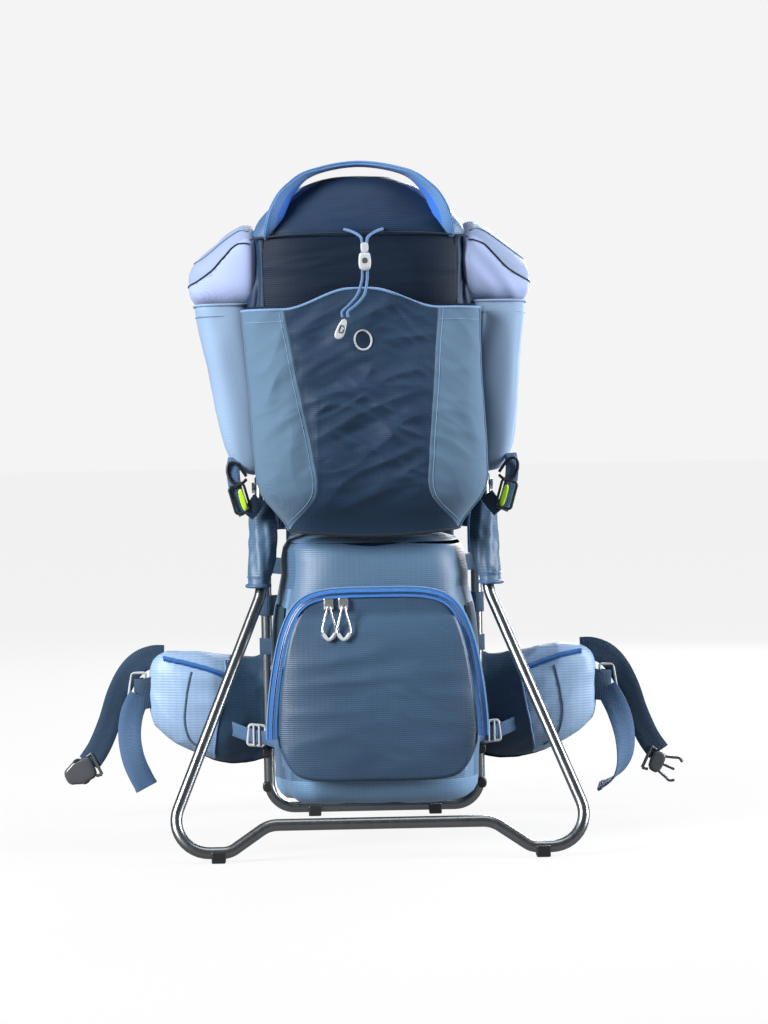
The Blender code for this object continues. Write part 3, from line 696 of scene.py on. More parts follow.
def build_shell():
    wall = 0.006
    rings = [level_ring(z, -h, h, y0, y1) for z, h, y0, y1 in SHELL_LEVELS]
    z, h, y0, y1 = SHELL_LEVELS[-1]
    rings.append(level_ring(z + 0.0022, -h + 0.003, h - 0.003, y0 + 0.003, y1 - 0.003))
    for i, (z, h, y0, y1) in enumerate(reversed(SHELL_LEVELS)):
        lift = 0.012 if i == len(SHELL_LEVELS) - 1 else 0.0
        rings.append(level_ring(z + lift, -h + wall, h - wall, y0 + wall, y1 - wall))
    shell = closed_loft("cockpit_cloth", rings, "lining", 1, still,
                        lambda p, n: p + n * 0.0011 * crease(p.x + p.y, p.z, 4.0, 0.05, 0.02))
    for side, s in SIDES:
        (y0, z0), (y1, z1) = LEG_HOLE
        hole = closed_loft(f"hole_{side}", [side_ring(s * x, y0, y1, z0, z1, 32, 5.0) for x in (0.08, 0.13)],
                           "lining", 0, still, None, False)
        cut(shell, hole)
        ring = side_ring(s * 0.1, y0, y1, z0, z1, 40, 5.0)
        tube(f"leg_binding_{side}", ring, 0.0032, "stretch", ROOT, "fabric_dark", closed=True)
    shell.data.shade_smooth()
    shell.data.set_sharp_from_angle(angle=SHARP_ANGLE)
    second_look(shell, "lid", lambda c, n: n.x * c.x + n.y * c.y > 0 and c.z < 0.626)
    place(shell, ROOT, "fabric_dark", ("cockpit_shell",))
    z, h, y0, y1 = SHELL_LEVELS[-1]
    tube("rim_binding", level_ring(z + 0.001, -h + 0.003, h - 0.003, y0 + 0.003, y1 - 0.003, 60), 0.0038,
         "piping", ROOT, "fabric_dark", closed=True)


HEM_Z = 0.6255
PANEL_LOW = 0.545


def panel_depth(x, half):
    return -0.1225 + 0.024 * (abs(x) / half) ** 4


def build_upper_panel():
    def at(u, v):
        half = 0.1 - 0.001 * v
        x = (2 * u - 1) * half
        z = HEM_Z + (PANEL_LOW - HEM_Z) * v
        fold = 0.0016 * crease(x, z, 1.0, 0.1, 0.016, 0.08) * math.sin(math.pi * min(1, v + 0.15))
        return (x, panel_depth(x, 0.108) - fold - 0.003 * math.sin(math.pi * v), z)
    place(grid_piece("upper_panel", 110, 60, at, "navy"), ROOT, "fabric_dark")
    for side, s in SIDES:
        def gathered(u, v, s=s):
            x = 0.098 + u * (0.014 + 0.012 * v)
            z = HEM_Z + (PANEL_LOW - HEM_Z) * v
            wave = u * 8.0 + v * 3.0 + 2.6 * noise.noise(Vector((u * 2, v * 2.2, s)))
            pucker = 0.0022 * math.sin(wave) * math.sin(math.pi * u)
            return (s * x, panel_depth(0.098, 0.108) + 0.022 * u ** 1.5 - pucker, z)
        place(grid_piece(f"gathered_strip_{side}", 24, 90, gathered, "lid"), ROOT, "fabric_dark")
        seam = [(s * 0.0985, panel_depth(0.0985, 0.108) - 0.0012, HEM_Z + (PANEL_LOW - HEM_Z) * t / 20)
                for t in range(21)]
        tube(f"panel_seam_{side}", seam, SEAM_R, "piping", ROOT, "fabric_dark", shift=lean)
    hem = []
    for i in range(61):
        x = 0.1115 * (i / 30 - 1)
        hem.append((x, panel_depth(x, 0.112) - 0.0035, HEM_Z + 0.0035 - 0.004 * (abs(x) / 0.1115) ** 3))
    tube("hem_piping", hem, 0.001, "piping", ROOT, "fabric_dark", shift=lean)


WING_STATIONS = ((0.105, -0.105, 0.075, 0.556, 0.64), (0.118, -0.104, 0.082, 0.553, 0.646),
                 (0.136, -0.098, 0.09, 0.553, 0.635), (0.156, -0.088, 0.09, 0.556, 0.619),
                 (0.17, -0.076, 0.082, 0.561, 0.606), (0.1765, -0.06, 0.068, 0.569, 0.596))


def wing_line(x):
    """The height of the wing's piping at a distance from the middle."""
    return between((0.627, 0.6235, 0.6085, 0.5935, 0.585, 0.5805), (x - 0.11) / 0.066)


def build_wings():
    for side, s in SIDES:
        rings = [side_ring(s * x, y0, y1, z0, z1, 32, 3.6) for x, y0, y1, z0, z1 in WING_STATIONS]

        def push(p, n, s=s):
            depth = 0.0018 * crease(p.y, p.x + p.z, 7.0 + s, 0.05, 0.035)
            return p + n * depth
        wing = closed_loft(f"wing_cloth_{side}", rings, "wing", 2, lean, push)
        place(wing, ROOT, "fabric_light", (f"side_wing_{side}",))
        second_look(wing, "wing_dark", lambda c, n, s=s: c.z > wing_line(s * (c.x + LEAN)))
        line = [(0.11, -0.115, 0.6265), (0.127, -0.1035, 0.622), (0.139, -0.0975, 0.6085),
                (0.152, -0.0915, 0.595), (0.165, -0.0805, 0.586), (0.1755, -0.06, 0.5805),
                (0.178, -0.03, 0.58), (0.178, 0.03, 0.58), (0.174, 0.064, 0.5805)]
        seam = curve_through(to_side(s, line))
        tube(f"wing_piping_{side}", snapped(seam, wing), 0.0009, "piping", ROOT, "fabric_dark")
        top = [(0.115, -0.101, 0.644), (0.126, -0.09, 0.642), (0.142, -0.084, 0.63), (0.156, -0.078, 0.619),
               (0.169, -0.06, 0.605), (0.172, -0.02, 0.6045), (0.172, 0.04, 0.6045)]
        seam = curve_through(to_side(s, top))
        tube(f"wing_seam_{side}", snapped(seam, wing), 0.0009, "stretch", ROOT, "fabric_light", sides=6)


def snapped(points, piece):
    """The points moved onto the nearest place of a piece's surface, after its lean."""
    return hugged([lean(Vector(p)) for p in points], piece, 0.0004)


POCKET_LEVELS = ((0.3835, 0.113, 0.131, -0.09, -0.038), (0.394, 0.107, 0.1415, -0.096, -0.026),
                 (0.41, 0.1062, 0.1495, -0.101, -0.014), (0.45, 0.1062, 0.156, -0.104, 0.0),
                 (0.5, 0.1062, 0.162, -0.104, 0.014), (0.53, 0.1065, 0.167, -0.103, 0.02),
                 (0.5585, 0.107, 0.1725, -0.101, 0.024))


def build_side_pockets():
    for side, s in SIDES:
        def mirrored(level, inset, s=s):
            z, x0, x1, y0, y1 = level
            low, high = sorted((s * (x0 + inset), s * (x1 - inset)))
            return level_ring(z, low, high, y0 + inset, y1 - inset, 36, 3.2)
        rings = [mirrored(level, 0.0) for level in POCKET_LEVELS]
        z, *rest = POCKET_LEVELS[-1]
        rings.append(mirrored((z + 0.0012, *rest), 0.0012))
        rings += [mirrored(level, 0.0026) for level in reversed(POCKET_LEVELS[1:])]

        def push(p, n, s=s):
            reach = ease(0.381, 0.42, p.z) * (1 - ease(0.545, 0.558, p.z))
            return p + n * reach * 0.002 * crease(p.y + p.x, p.z, 17.0 + s, 0.03, 0.09)
        pocket = closed_loft(f"side_pocket_cloth_{side}", rings, "side", 1, lean, push, False)
        place(pocket, ROOT, "fabric_light", (f"side_pocket_{side}",))
        z, x0, x1, y0, y1 = POCKET_LEVELS[-1]
        low, high = sorted((s * x0, s * x1))
        tube(f"side_hem_{side}", level_ring(z + 0.0008, low, high, y0, y1, 60, 3.2), 0.0013, "side", ROOT,
             "fabric_light", closed=True, shift=lean)
        z -= 0.011
        low, high = sorted((s * (x0 - 0.0006), s * (x1 - 0.0012)))
        tube(f"side_stitch_{side}", level_ring(z, low, high, y0 - 0.0006, y1, 60, 3.2), 0.0005, "thread",
             ROOT, "fabric_light", sides=5, closed=True, shift=lean)


# Front stretch pocket

FRONT_TOP = 0.551
FRONT_LOW = 0.3275
FRONT_HALF = (0.122, 0.1205, 0.1195, 0.1195, 0.119, 0.115, 0.088)
FRONT_SEAM = (0.0785, 0.0735, 0.069, 0.0635, 0.0585, 0.058, 0.0865)
FRONT_DEPTH = (0.038, 0.046, 0.052, 0.056, 0.057, 0.05, 0.026)


def front_point(x, v, wrinkles, lift=0.0):
    """A point of the front pocket's cloth at x, v of the way down."""
    half = between(FRONT_HALF, v)
    seam = between(FRONT_SEAM, v)
    reach = min(1.0, abs(x) / half)
    rise = 0.02 * (1 - ease(0.01, 0.079, abs(x))) + 0.0005
    z = FRONT_TOP + (FRONT_LOW - FRONT_TOP) * v + rise * (1 - v) ** 2
    z -= 0.0065 * (1 - (x / 0.0875) ** 2) * v ** 5
    depth = between(FRONT_DEPTH, v) * max(0.0, 1 - reach ** 5) ** 0.45
    pinch = 0.0011 * math.exp(-((abs(x) - seam) / 0.0085) ** 2)
    edge = math.sin(math.pi * min(1.0, 0.12 + v * 0.95)) ** 0.6
    return (x, -(0.106 + depth - pinch + wrinkles * edge + lift), z)


def centre_folds(x, z):
    broad = crease(x, z, 21.0, 0.075, 0.02, 0.3)
    other = crease(x, z, 33.0, 0.06, 0.017, -0.35)
    return 0.0044 * broad + 0.0028 * other


def side_folds(x, z):
    return 0.0024 * crease(x, z, 41.0, 0.03, 0.075, 0.25 if x > 0 else -0.25) \
        + 0.0016 * crease(x, z, 47.0, 0.045, 0.02, -0.5 if x > 0 else 0.5)


def blended_folds(x, v):
    """Centre folds inside the seams, calmer ones outside, both fading at the seam."""
    z = FRONT_TOP + (FRONT_LOW - FRONT_TOP) * v
    seam = between(FRONT_SEAM, v)
    inside = 1 - ease(seam - 0.026, seam + 0.01, abs(x))
    return centre_folds(x, z) * inside + side_folds(x, z) * (1 - inside)


def build_front_pocket():
    def centre(u, v):
        x = (2 * u - 1) * between(FRONT_SEAM, v)
        return front_point(x, v, blended_folds(x, v))
    body = grid_piece("front_pocket_centre", 120, 170, centre, "panel")
    place(body, ROOT, "fabric_blue", ("front_pocket",))
    for side, s in SIDES:
        def outer(u, v, s=s):
            seam, half = between(FRONT_SEAM, v), between(FRONT_HALF, v)
            x = s * (seam + (half - seam) * (u if s > 0 else 1 - u))
            return front_point(x, v, blended_folds(x, v))
        place(grid_piece(f"front_pocket_{side}", 56, 150, outer, "stretch"), ROOT, "fabric_blue")
        seam = [front_point(s * between(FRONT_SEAM, t / 80), t / 80, 0.0, -0.0016) for t in range(81)]
        tube(f"front_seam_{side}", seam, 0.001, "piping_light", ROOT, "fabric_blue", shift=lean)
        stitch = [front_point(s * (between(FRONT_SEAM, t / 80) + 0.0045), t / 80,
                              blended_folds(s * (between(FRONT_SEAM, t / 80) + 0.0045), t / 80), 0.0001)
                  for t in range(81)]
        tube(f"front_stitch_{side}", stitch, 0.0004, "thread", ROOT, "fabric_blue", sides=5, shift=lean)
        edge = [front_point(s * (between(FRONT_HALF, t / 80) - 0.0012), t / 80, 0.0) for t in range(81)]
        tube(f"front_edge_{side}", edge, 0.0015, "stretch", ROOT, "fabric_blue", shift=lean)
        band = [front_point(s * (0.079 + 0.043 * t / 30), 0.055,
                            blended_folds(s * (0.079 + 0.043 * t / 30), 0.055), 0.0003) for t in range(29)]
        tube(f"front_hem_stitch_{side}", band, 0.0005, "thread", ROOT, "fabric_blue", sides=5, shift=lean)
    top = [front_point(0.1218 * (t / 60 - 1), 0.0, 0.0, 0.0004) for t in range(121)]
    tube("front_top_hem", top, 0.0015, "piping_light", ROOT, "fabric_blue", shift=lean)
    low = [front_point(0.088 * (t / 40 - 1), 1.0, 0.0, 0.0002) for t in range(81)]
    tube("front_bottom_seam", low, 0.0016, "piping", ROOT, "fabric_blue", shift=lean)

    def back_wall(u, v):
        half = between(FRONT_HALF, v) - 0.004
        x = (2 * u - 1) * half
        return (x, -0.1245 + 0.018 * (abs(x) / half) ** 4, 0.556 + (0.329 - 0.556) * v)
    place(grid_piece("front_pocket_back", 40, 40, back_wall, "navy"), ROOT, "fabric_blue")

    def underside(u, v):
        x = (2 * u - 1) * 0.0875
        front = Vector(front_point(x, 1.0, 0.0))
        back = Vector((x, -0.1, 0.334))
        return front.lerp(back, v)
    place(grid_piece("front_pocket_underside", 40, 8, underside, "stretch"), ROOT, "fabric_blue")
    build_emblem()


def build_emblem():
    """A plain woven ring in grey thread, a generic mark."""
    ring = []
    for i in range(40):
        turn = 2 * math.pi * i / 40
        x, z = 0.0085 * math.cos(turn), 0.516 + 0.0085 * math.sin(turn)
        v = (FRONT_TOP - z + 0.01) / (FRONT_TOP - FRONT_LOW)
        ring.append(front_point(x, v, blended_folds(x, v), 0.0006))
    tube("plain_ring_mark", ring, 0.001, "grey", ROOT, "fabric_blue", sides=6, closed=True, shift=lean)


# Headrest and grab handle

HEADREST_LEVELS = ((0.6235, 0.106, -0.118, -0.045), (0.627, 0.1105, -0.1225, -0.043),
                   (0.636, 0.1085, -0.1225, -0.041), (0.648, 0.101, -0.118, -0.041),
                   (0.662, 0.087, -0.111, -0.043), (0.676, 0.066, -0.102, -0.048),
                   (0.6855, 0.044, -0.093, -0.055), (0.689, 0.026, -0.086, -0.062))


def cheek_line(z):
    """Half the width of the hood's middle panel at a height."""
    return between((0.088, 0.084, 0.074, 0.058, 0.036), (z - 0.627) / 0.06)


def build_headrest():
    rings = [level_ring(z, -h, h, y0, y1, 36, 2.7) for z, h, y0, y1 in HEADREST_LEVELS]

    def push(p, n):
        return p + n * 0.0013 * crease(p.x, p.z + p.y, 51.0, 0.055, 0.022, 0.15)
    rest = closed_loft("headrest_cloth", rings, "lid", 2, lean, push)
    place(rest, ROOT, "fabric_dark", ("headrest",))
    second_look(rest, "cheek", lambda c, n: abs(c.x + LEAN) > cheek_line(c.z) and c.z > HEM_Z + 0.002)


HANDLE_HALF = ((-0.0862, -0.106, 0.63), (-0.0852, -0.115, 0.64), (-0.0812, -0.117, 0.654),
               (-0.069, -0.1095, 0.674), (-0.045, -0.095, 0.6925))
HANDLE_TOP = (0.0, -0.086, 0.701)


def build_handle():
    knots = list(HANDLE_HALF) + [HANDLE_TOP] + [(-x, y, z) for x, y, z in reversed(HANDLE_HALF)]
    path = resampled(curve_through(knots), 61)
    across = [(0.75, 0.62, 0.25), (0.35, 0.93, 0.1), (0.0, 1.0, 0.0), (-0.35, 0.93, 0.1),
              (-0.75, 0.62, 0.25)]
    inner = ribbon_piece("handle_inner_web", path, across, 0.026, "handle_in", 0.0022, lean, 0.0)
    place(inner, ROOT, "handle_blue", ("grab_handle",))
    marks = inner.data.uv_layers[0].data
    inner.data.materials.append(MATERIALS["handle_out"])
    for face in inner.data.polygons:
        if sum(marks[i].uv.x for i in face.loop_indices) / len(face.loop_indices) < 0.0015:
            face.material_index = 1
    above = []
    for i, point in enumerate(path):
        ahead = (path[min(i + 1, 60)] - path[max(i - 1, 0)]).normalized()
        out = Vector((-ahead.z, 0, ahead.x)).normalized()
        above.append(point + out * 0.0024)
    outer = ribbon_piece("handle_outer_web", above, across, (0.023, 0.023), "handle_out", 0.002, lean)
    place(outer, ROOT, "handle_blue")
    for name, shift_y in (("front", -0.0085), ("back", 0.0085)):
        line = []
        for i, point in enumerate(above):
            wide = Vector(between(across, i / 60)).normalized()
            ahead = (above[min(i + 1, 60)] - above[max(i - 1, 0)]).normalized()
            wide = (wide - ahead * wide.dot(ahead)).normalized()
            out = ahead.cross(wide)
            out = out if out.z > 0 or abs(out.x) > abs(out.z) and out.x * point.x > 0 else -out
            line.append(point + wide * shift_y + out * 0.001)
        tube(f"handle_stitch_{name}", line, 0.0004, "thread", ROOT, "handle_blue", sides=5, shift=lean)


# Elastic cord, its lock and the pull tab

CORD_R = 0.0015
LOCK = Vector((-0.0055, -0.168, 0.5995))
TAB_TOP = Vector((-0.026, -0.171, 0.5415))


def cord_route(s):
    x = LOCK.x
    return [(x + s * 0.0215, -0.1135, 0.633), (x + s * 0.019, -0.124, 0.6325),
            (x + s * 0.0115, -0.148, 0.6285), (x + s * 0.004, -0.1645, 0.6225),
            (x + s * 0.0024, LOCK.y, 0.6165), (x + s * 0.0024, LOCK.y, 0.606),
            (x + s * 0.0024, LOCK.y, 0.586), (x + s * 0.0026 - 0.0008, LOCK.y - 0.001, 0.577),
            (x + s * 0.0034 - 0.0045, LOCK.y - 0.0025, 0.564), (x + s * 0.0034 - 0.013, TAB_TOP.y, 0.554),
            (TAB_TOP.x + s * 0.0028, TAB_TOP.y, TAB_TOP.z + 0.006),
            (TAB_TOP.x + s * 0.0028, TAB_TOP.y, TAB_TOP.z + 0.0004)]


def smooth_path(knots, steps=6):
    """Points along a smooth curve through the knots."""
    knots = [Vector(k) for k in knots]
    padded = [knots[0] * 2 - knots[1], *knots, knots[-1] * 2 - knots[-2]]
    path = []
    for a, b, c, d in zip(padded, padded[1:], padded[2:], padded[3:]):
        path += [spline(a, b, c, d, i / steps) for i in range(steps)]
    return [*path, knots[-1]]


def length_of(points):
    return sum((b - a).length for a, b in zip(points, points[1:]))


def build_cords():
    for side, s in SIDES:
        path = smooth_path(cord_route(s), 5)
        cord = tube_piece(f"elastic_cord_{side}", path, CORD_R, "cord", 10, False, still)
        place(cord, ROOT, "cord_blue", (f"shock_cord_{side}",))
        tuple(path[0])
        length_of(path)
        [tuple(p) for p in path]


def build_cord_fittings():
    """A waisted cord lock with its button, and the small slanted pull tab at the cords' ends."""
    across, up = (1, 0, 0), (0, 0.03, 1)
    body_line = [(-0.0062, -0.01), (-0.0066, 0.0), (-0.0056, 0.0062), (-0.0052, 0.0078), (0.0052, 0.0078),
                 (0.0056, 0.0062), (0.0066, 0.0), (0.0062, -0.01), (0.0, -0.0112)]
    low, high = [Vector(c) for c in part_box("cord_lock")]
    middle = (low + high) / 2
    lock = moulded("lock_body", body_line, middle, across, up, high.y - low.y - 0.0012, "grey", 0.0006)
    place(lock, ROOT, "grey_plastic", ("cord_lock",))
    # A dark smoke plate on the lock's face: painted shade of the recess where the cords go in.
    dark = [(-0.0034, -0.004), (-0.0038, 0.003), (0.0038, 0.003), (0.0034, -0.004)]
    place(moulded("lock_recess", dark, (middle.x, low.y + 0.0006, middle.z), across, up, 0.0016, "smoke",
                  0.0002), ROOT, "grey_plastic")
    low, high = [Vector(c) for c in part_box("cord_lock_button")]
    middle = (low + high) / 2
    half = (high.z - low.z) / 2
    cap = [(-0.004, -half), (-0.0042, half * 0.55), (-0.003, half), (0.003, half), (0.0042, half * 0.55),
           (0.004, -half)]
    place(moulded("lock_plunger", cap, middle, across, up, 0.0048, "grey", 0.0004), "lock_button",
          "grey_plastic", ("cord_lock_button",))
    low, high = [Vector(c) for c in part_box("cord_pull_tab")]
    middle = (low + high) / 2
    tip = [(-0.0032, 0.0116), (-0.0048, -0.001), (-0.0054, -0.0078), (-0.003, -0.0108), (0.0016, -0.0108),
           (0.0048, -0.0068), (0.0044, 0.001), (0.0032, 0.0116)]
    place(moulded("pull_tab_body", tip, middle, (1, 0, -0.35), (0.35, 0, 1), high.y - low.y - 0.0006, "grey",
                  0.0004), ROOT, "steel", ("cord_pull_tab",))
    eye = rounded_ring("pull_tab_eye", (middle.x, low.y - 0.0002, middle.z), 0.0022, 0.0036, 0.0007, "smoke",
                       (1, 0, -0.35), (0.35, 0, 1), (), 0.0018)
    place(eye, ROOT, "steel")


# Lower bag, its door and zip

BAG_LEVELS = ((0.045, 0.08, -0.096, 0.03), (0.048, 0.095, -0.11, 0.045), (0.058, 0.104, -0.12, 0.085),
              (0.08, 0.1065, -0.125, 0.108), (0.12, 0.1085, -0.127, 0.116), (0.17, 0.109, -0.1275, 0.118),
              (0.22, 0.108, -0.127, 0.118), (0.246, 0.104, -0.1255, 0.118), (0.264, 0.0985, -0.1235, 0.117),
              (0.295, 0.0965, -0.119, 0.115), (0.318, 0.096, -0.113, 0.111))
DOOR_FRONT = -0.1293
DOOR_MIDDLE = 0.165
ZIP_OUTLINE = ((0.107, 0.115), (0.1065, 0.135), (0.1035, 0.165), (0.0985, 0.195), (0.0925, 0.22),
               (0.083, 0.242), (0.07, 0.255), (0.05, 0.261), (0.025, 0.2625))


def build_bag():
    wall = 0.005
    rings = [level_ring(z, -h, h, y0, y1, 40, 4.0) for z, h, y0, y1 in BAG_LEVELS]
    outer = closed_loft("bag_cloth", rings, "bag", 1, still, bag_push)
    inner_levels = ((0.056, 0.09, -0.106, 0.07),) + BAG_LEVELS[3:-1] + ((0.313, 0.0962, -0.1145, 0.1118),)
    inner_rings = [level_ring(z, wall - h, h - wall, y0 + wall, y1 - wall, 40, 4.0) for z, h, y0,
                   y1 in inner_levels]
    cavity = closed_loft("cavity", inner_rings, "lining", 0, still)
    mouth = closed_loft("mouth", [[Vector((x, y, z)) for x, z in door_line(0.93)] for y in (-0.16, -0.1)],
                        "lining", 0, still, None, False)
    for cutter in (cavity, mouth):
        cut(outer, cutter)
    outer.data.shade_smooth()
    outer.data.set_sharp_from_angle(angle=SHARP_ANGLE)
    second_look(outer, "bag_side", lambda c, n: abs(c.x) > 0.088 and c.y < -0.095 and 0.076 < c.z < 0.268
                and n.y < 0.2)
    second_look(outer, "base", lambda c, n: c.z < 0.07)
    # The bag's upper corners beside the sleeves take the darker sleeve cloth: painted shade of the hollow
    # between the sleeves and the bag.
    second_look(outer, "sleeve", lambda c, n: c.z > 0.272 and abs(c.x) > 0.082)
    place(outer, ROOT, "fabric_blue", ("compartment",))
    return outer


def bag_push(p, n):
    """Taut cloth in front, loose folds on the upper plain panel, and a slumped base."""
    upper = ease(0.262, 0.275, p.z)
    low = 1 - ease(0.06, 0.085, p.z)
    fold = 0.003 * crease(p.x, p.z, 61.0, 0.08, 0.022, 0.12) * upper
    slump = 0.0035 * crease(p.x, p.y, 67.0, 0.045, 0.05) * low
    side = 0.0016 * crease(p.y, p.z, 71.0, 0.05, 0.06) * (1 - upper) * ease(0.08, 0.105, abs(p.x))
    return p + n * (fold + slump + side)


def door_line(scale=1.0, low=0.072, steps=6):
    """The D outline of the door, all round, as (x, z)."""
    half = [(0.0, low), (0.05, low), (0.077, low + 0.003), (0.09, low + 0.013), (0.1, low + 0.032)]
    half += [(x - 0.005, z) for x, z in ZIP_OUTLINE[:-1]]
    half += [(0.025, 0.2575), (0.0, 0.258)]
    points = [(p.x, p.y) for p in (Vector(between(half, i / (len(half) * steps)))
                                   for i in range(len(half) * steps + 1))]
    left = [(-x, z) for x, z in reversed(points[1:-1])]
    return [(x * scale, DOOR_MIDDLE + (z - DOOR_MIDDLE) * scale) for x, z in points + left]


def door_surface(x, z):
    """How far the stuffed door stands out of its rim."""
    u, v = abs(x) / 0.101, (z - 0.072) / 0.186
    crown = max(0.0, 1 - u ** 2.8) * max(0.0, 1 - abs(2 * v - 0.8) ** 2.6)
    tuck = 0.0018 * crease(x, z, 81.0, 0.095, 0.034, 0.1) + 0.0007 * crease(x, z, 85.0, 0.04, 0.016, -0.2)
    return -(0.0165 * crown ** 0.7 + tuck * crown ** 0.5)


def build_door():
    line = door_line()
    count = len(line)
    bm = bmesh.new()
    steps = 26
    rows = []
    for j in range(steps):
        t = 1 - j / steps
        row = []
        for x, z in line:
            px, pz = x * t, DOOR_MIDDLE + (z - DOOR_MIDDLE) * t
            row.append(bm.verts.new((px, DOOR_FRONT + door_surface(px, pz), pz)))
        rows.append(row)
    for a, b in zip(rows, rows[1:]):
        join_rings(bm, a, b)
    centre = bm.verts.new((0, DOOR_FRONT + door_surface(0, DOOR_MIDDLE), DOOR_MIDDLE))
    for k in range(count):
        bm.faces.new((rows[-1][k], rows[-1][(k + 1) % count], centre))
    bmesh.ops.recalc_face_normals(bm, faces=bm.faces)
    if sum(f.normal.y for f in bm.faces) > 0:
        bmesh.ops.reverse_faces(bm, faces=bm.faces)
    door = mesh_piece("door_cloth", bm, "door")
    thicken(door, 0.0016)
    place(door, "door", "fabric_blue", ("compartment_door",))
    seam = [(x, DOOR_FRONT - 0.0006, z) for x, z in door_line(0.985) if z < 0.118]
    seam.sort(key=lambda p: math.atan2(p[0], DOOR_MIDDLE - p[2]))
    tube("door_bottom_seam", seam, 0.0012, "piping", "door", "fabric_blue")
    build_zip()


def zip_path(offset=0.0, steps=8):
    """The zip's arch, from low on the left over the top to low on the right, as (x, z)."""
    right = [Vector(between(ZIP_OUTLINE, i / (len(ZIP_OUTLINE) * steps)))
             for i in range(len(ZIP_OUTLINE) * steps + 1)]
    points = [Vector((-p.x, p.y)) for p in right] + [Vector((p.x, p.y)) for p in reversed(right)]
    made = []
    for i, point in enumerate(points):
        ahead = (points[min(i + 1, len(points) - 1)] - points[max(i - 1, 0)]).normalized()
        out = Vector((-ahead.y, ahead.x))
        made.append(point + out * offset)
    return made


def flat_band(name, inner, outer, y_inner, y_outer, look):
    """A flat strip between two offsets of the zip's arch."""
    low = resampled([Vector((p.x, y_inner, p.y)) for p in zip_path(inner)], 150)
    high = resampled([Vector((p.x, y_outer, p.y)) for p in zip_path(outer)], 150)
    path = [(a + b) / 2 for a, b in zip(low, high)]
    across = [tuple(b - a) for a, b in zip(low, high)]
    return ribbon_piece(name, path, across, (low[70] - high[70]).length, look, 0.001)


def build_zip():
    place(flat_band("zip_tape_outer", 0.001, 0.0052, -0.129, -0.1278, "tape"), ROOT, "handle_blue")
    place(flat_band("zip_tape_inner", -0.0042, -0.0008, -0.1303, -0.13, "tape"), "door", "handle_blue")
    for name, offset, body in (("outer", 0.0006, ROOT), ("inner", -0.0012, "door")):
        line = resampled([Vector((p.x, -0.13, p.y)) for p in zip_path(offset)], 170)
        tube(f"zip_teeth_{name}", line, 0.0008, "teeth", body, "handle_blue", sides=6)
    rim = resampled([Vector((p.x, -0.1282, p.y)) for p in zip_path(0.006)], 120)
    tube("zip_welt", rim, 0.0009, "piping_light", ROOT, "fabric_blue")


def build_pulls():
    """Each slider carries a bent wire pull with a moulded grip."""
    for side, _ in SIDES:
        low, high = [Vector(c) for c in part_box(f"door_pull_{side}")]
        x, top = (low.x + high.x) / 2, high.z
        y = min((low.y + high.y) / 2, DOOR_FRONT + door_surface(x, top - 0.0335) - 0.0026)
        wire = [(x - 0.0012, y, top - 0.001), (x - 0.003, y, top - 0.008),
                (x - 0.0062, y - 0.0004, top - 0.02), (x - 0.0068, y - 0.0004, top - 0.027),
                (x - 0.004, y, top - 0.0325), (x + 0.004, y, top - 0.0325),
                (x + 0.0068, y - 0.0004, top - 0.027), (x + 0.0062, y - 0.0004, top - 0.02),
                (x + 0.003, y, top - 0.008), (x + 0.0012, y, top - 0.001), (x - 0.0012, y, top - 0.001)]
        line = curve_through(wire, 5)[:-1]
        line = [Vector((p.x, p.y + 0.4 * (-0.136 - y) * ease(-0.034, 0.0, p.z - top), p.z)) for p in line]
        tube(f"pull_wire_{side}", line, 0.0011, "steel", f"pull_{side}", "steel", closed=True,
             stands_for=(f"door_pull_{side}",))
        grip = curve_through([(x - 0.006, y, top - 0.0275), (x, y - 0.0008, top - 0.0335),
                              (x + 0.006, y, top - 0.0275)])
        tube(f"pull_grip_{side}", grip, 0.0019, "grey", f"pull_{side}", "steel", sides=10)


def build_side_bands():
    """Dark stretch bands down the bag's front corners, and the sleeves over the kickstand's tops."""
    for side, s in SIDES:
        def band(u, v, s=s):
            half = 0.11 + 0.0015 * math.sin(math.pi * u)
            near = Vector((s * half, -0.112 + 0.036 * u, 0.252 - 0.14 * v))
            return tuple(hugged([near], bpy.data.objects["bag_cloth"], 0.0012)[0])
        place(grid_piece(f"corner_band_{side}", 14, 60, band, "band", 0.0012, still), ROOT, "fabric_blue")
        build_sleeve(side, s)


SLEEVE_LEVELS = ((0.356, 0.114, -0.0605, 0.011), (0.342, 0.113, -0.068, 0.015),
                 (0.324, 0.112, -0.0745, 0.0162), (0.308, 0.113, -0.08, 0.016),
                 (0.293, 0.1145, -0.085, 0.0152), (0.282, 0.1162, -0.0885, 0.0138),
                 (0.2755, 0.1174, -0.0905, 0.0126), (0.269, 0.1182, -0.0925, 0.013))


SLEEVE_SIDES = 48


def flattened(s, across):
    """The side of a sleeve nearest the bag is flatter, so the kickstand can fold past it."""
    return across * (0.74 if s * across < 0 else 1.0)


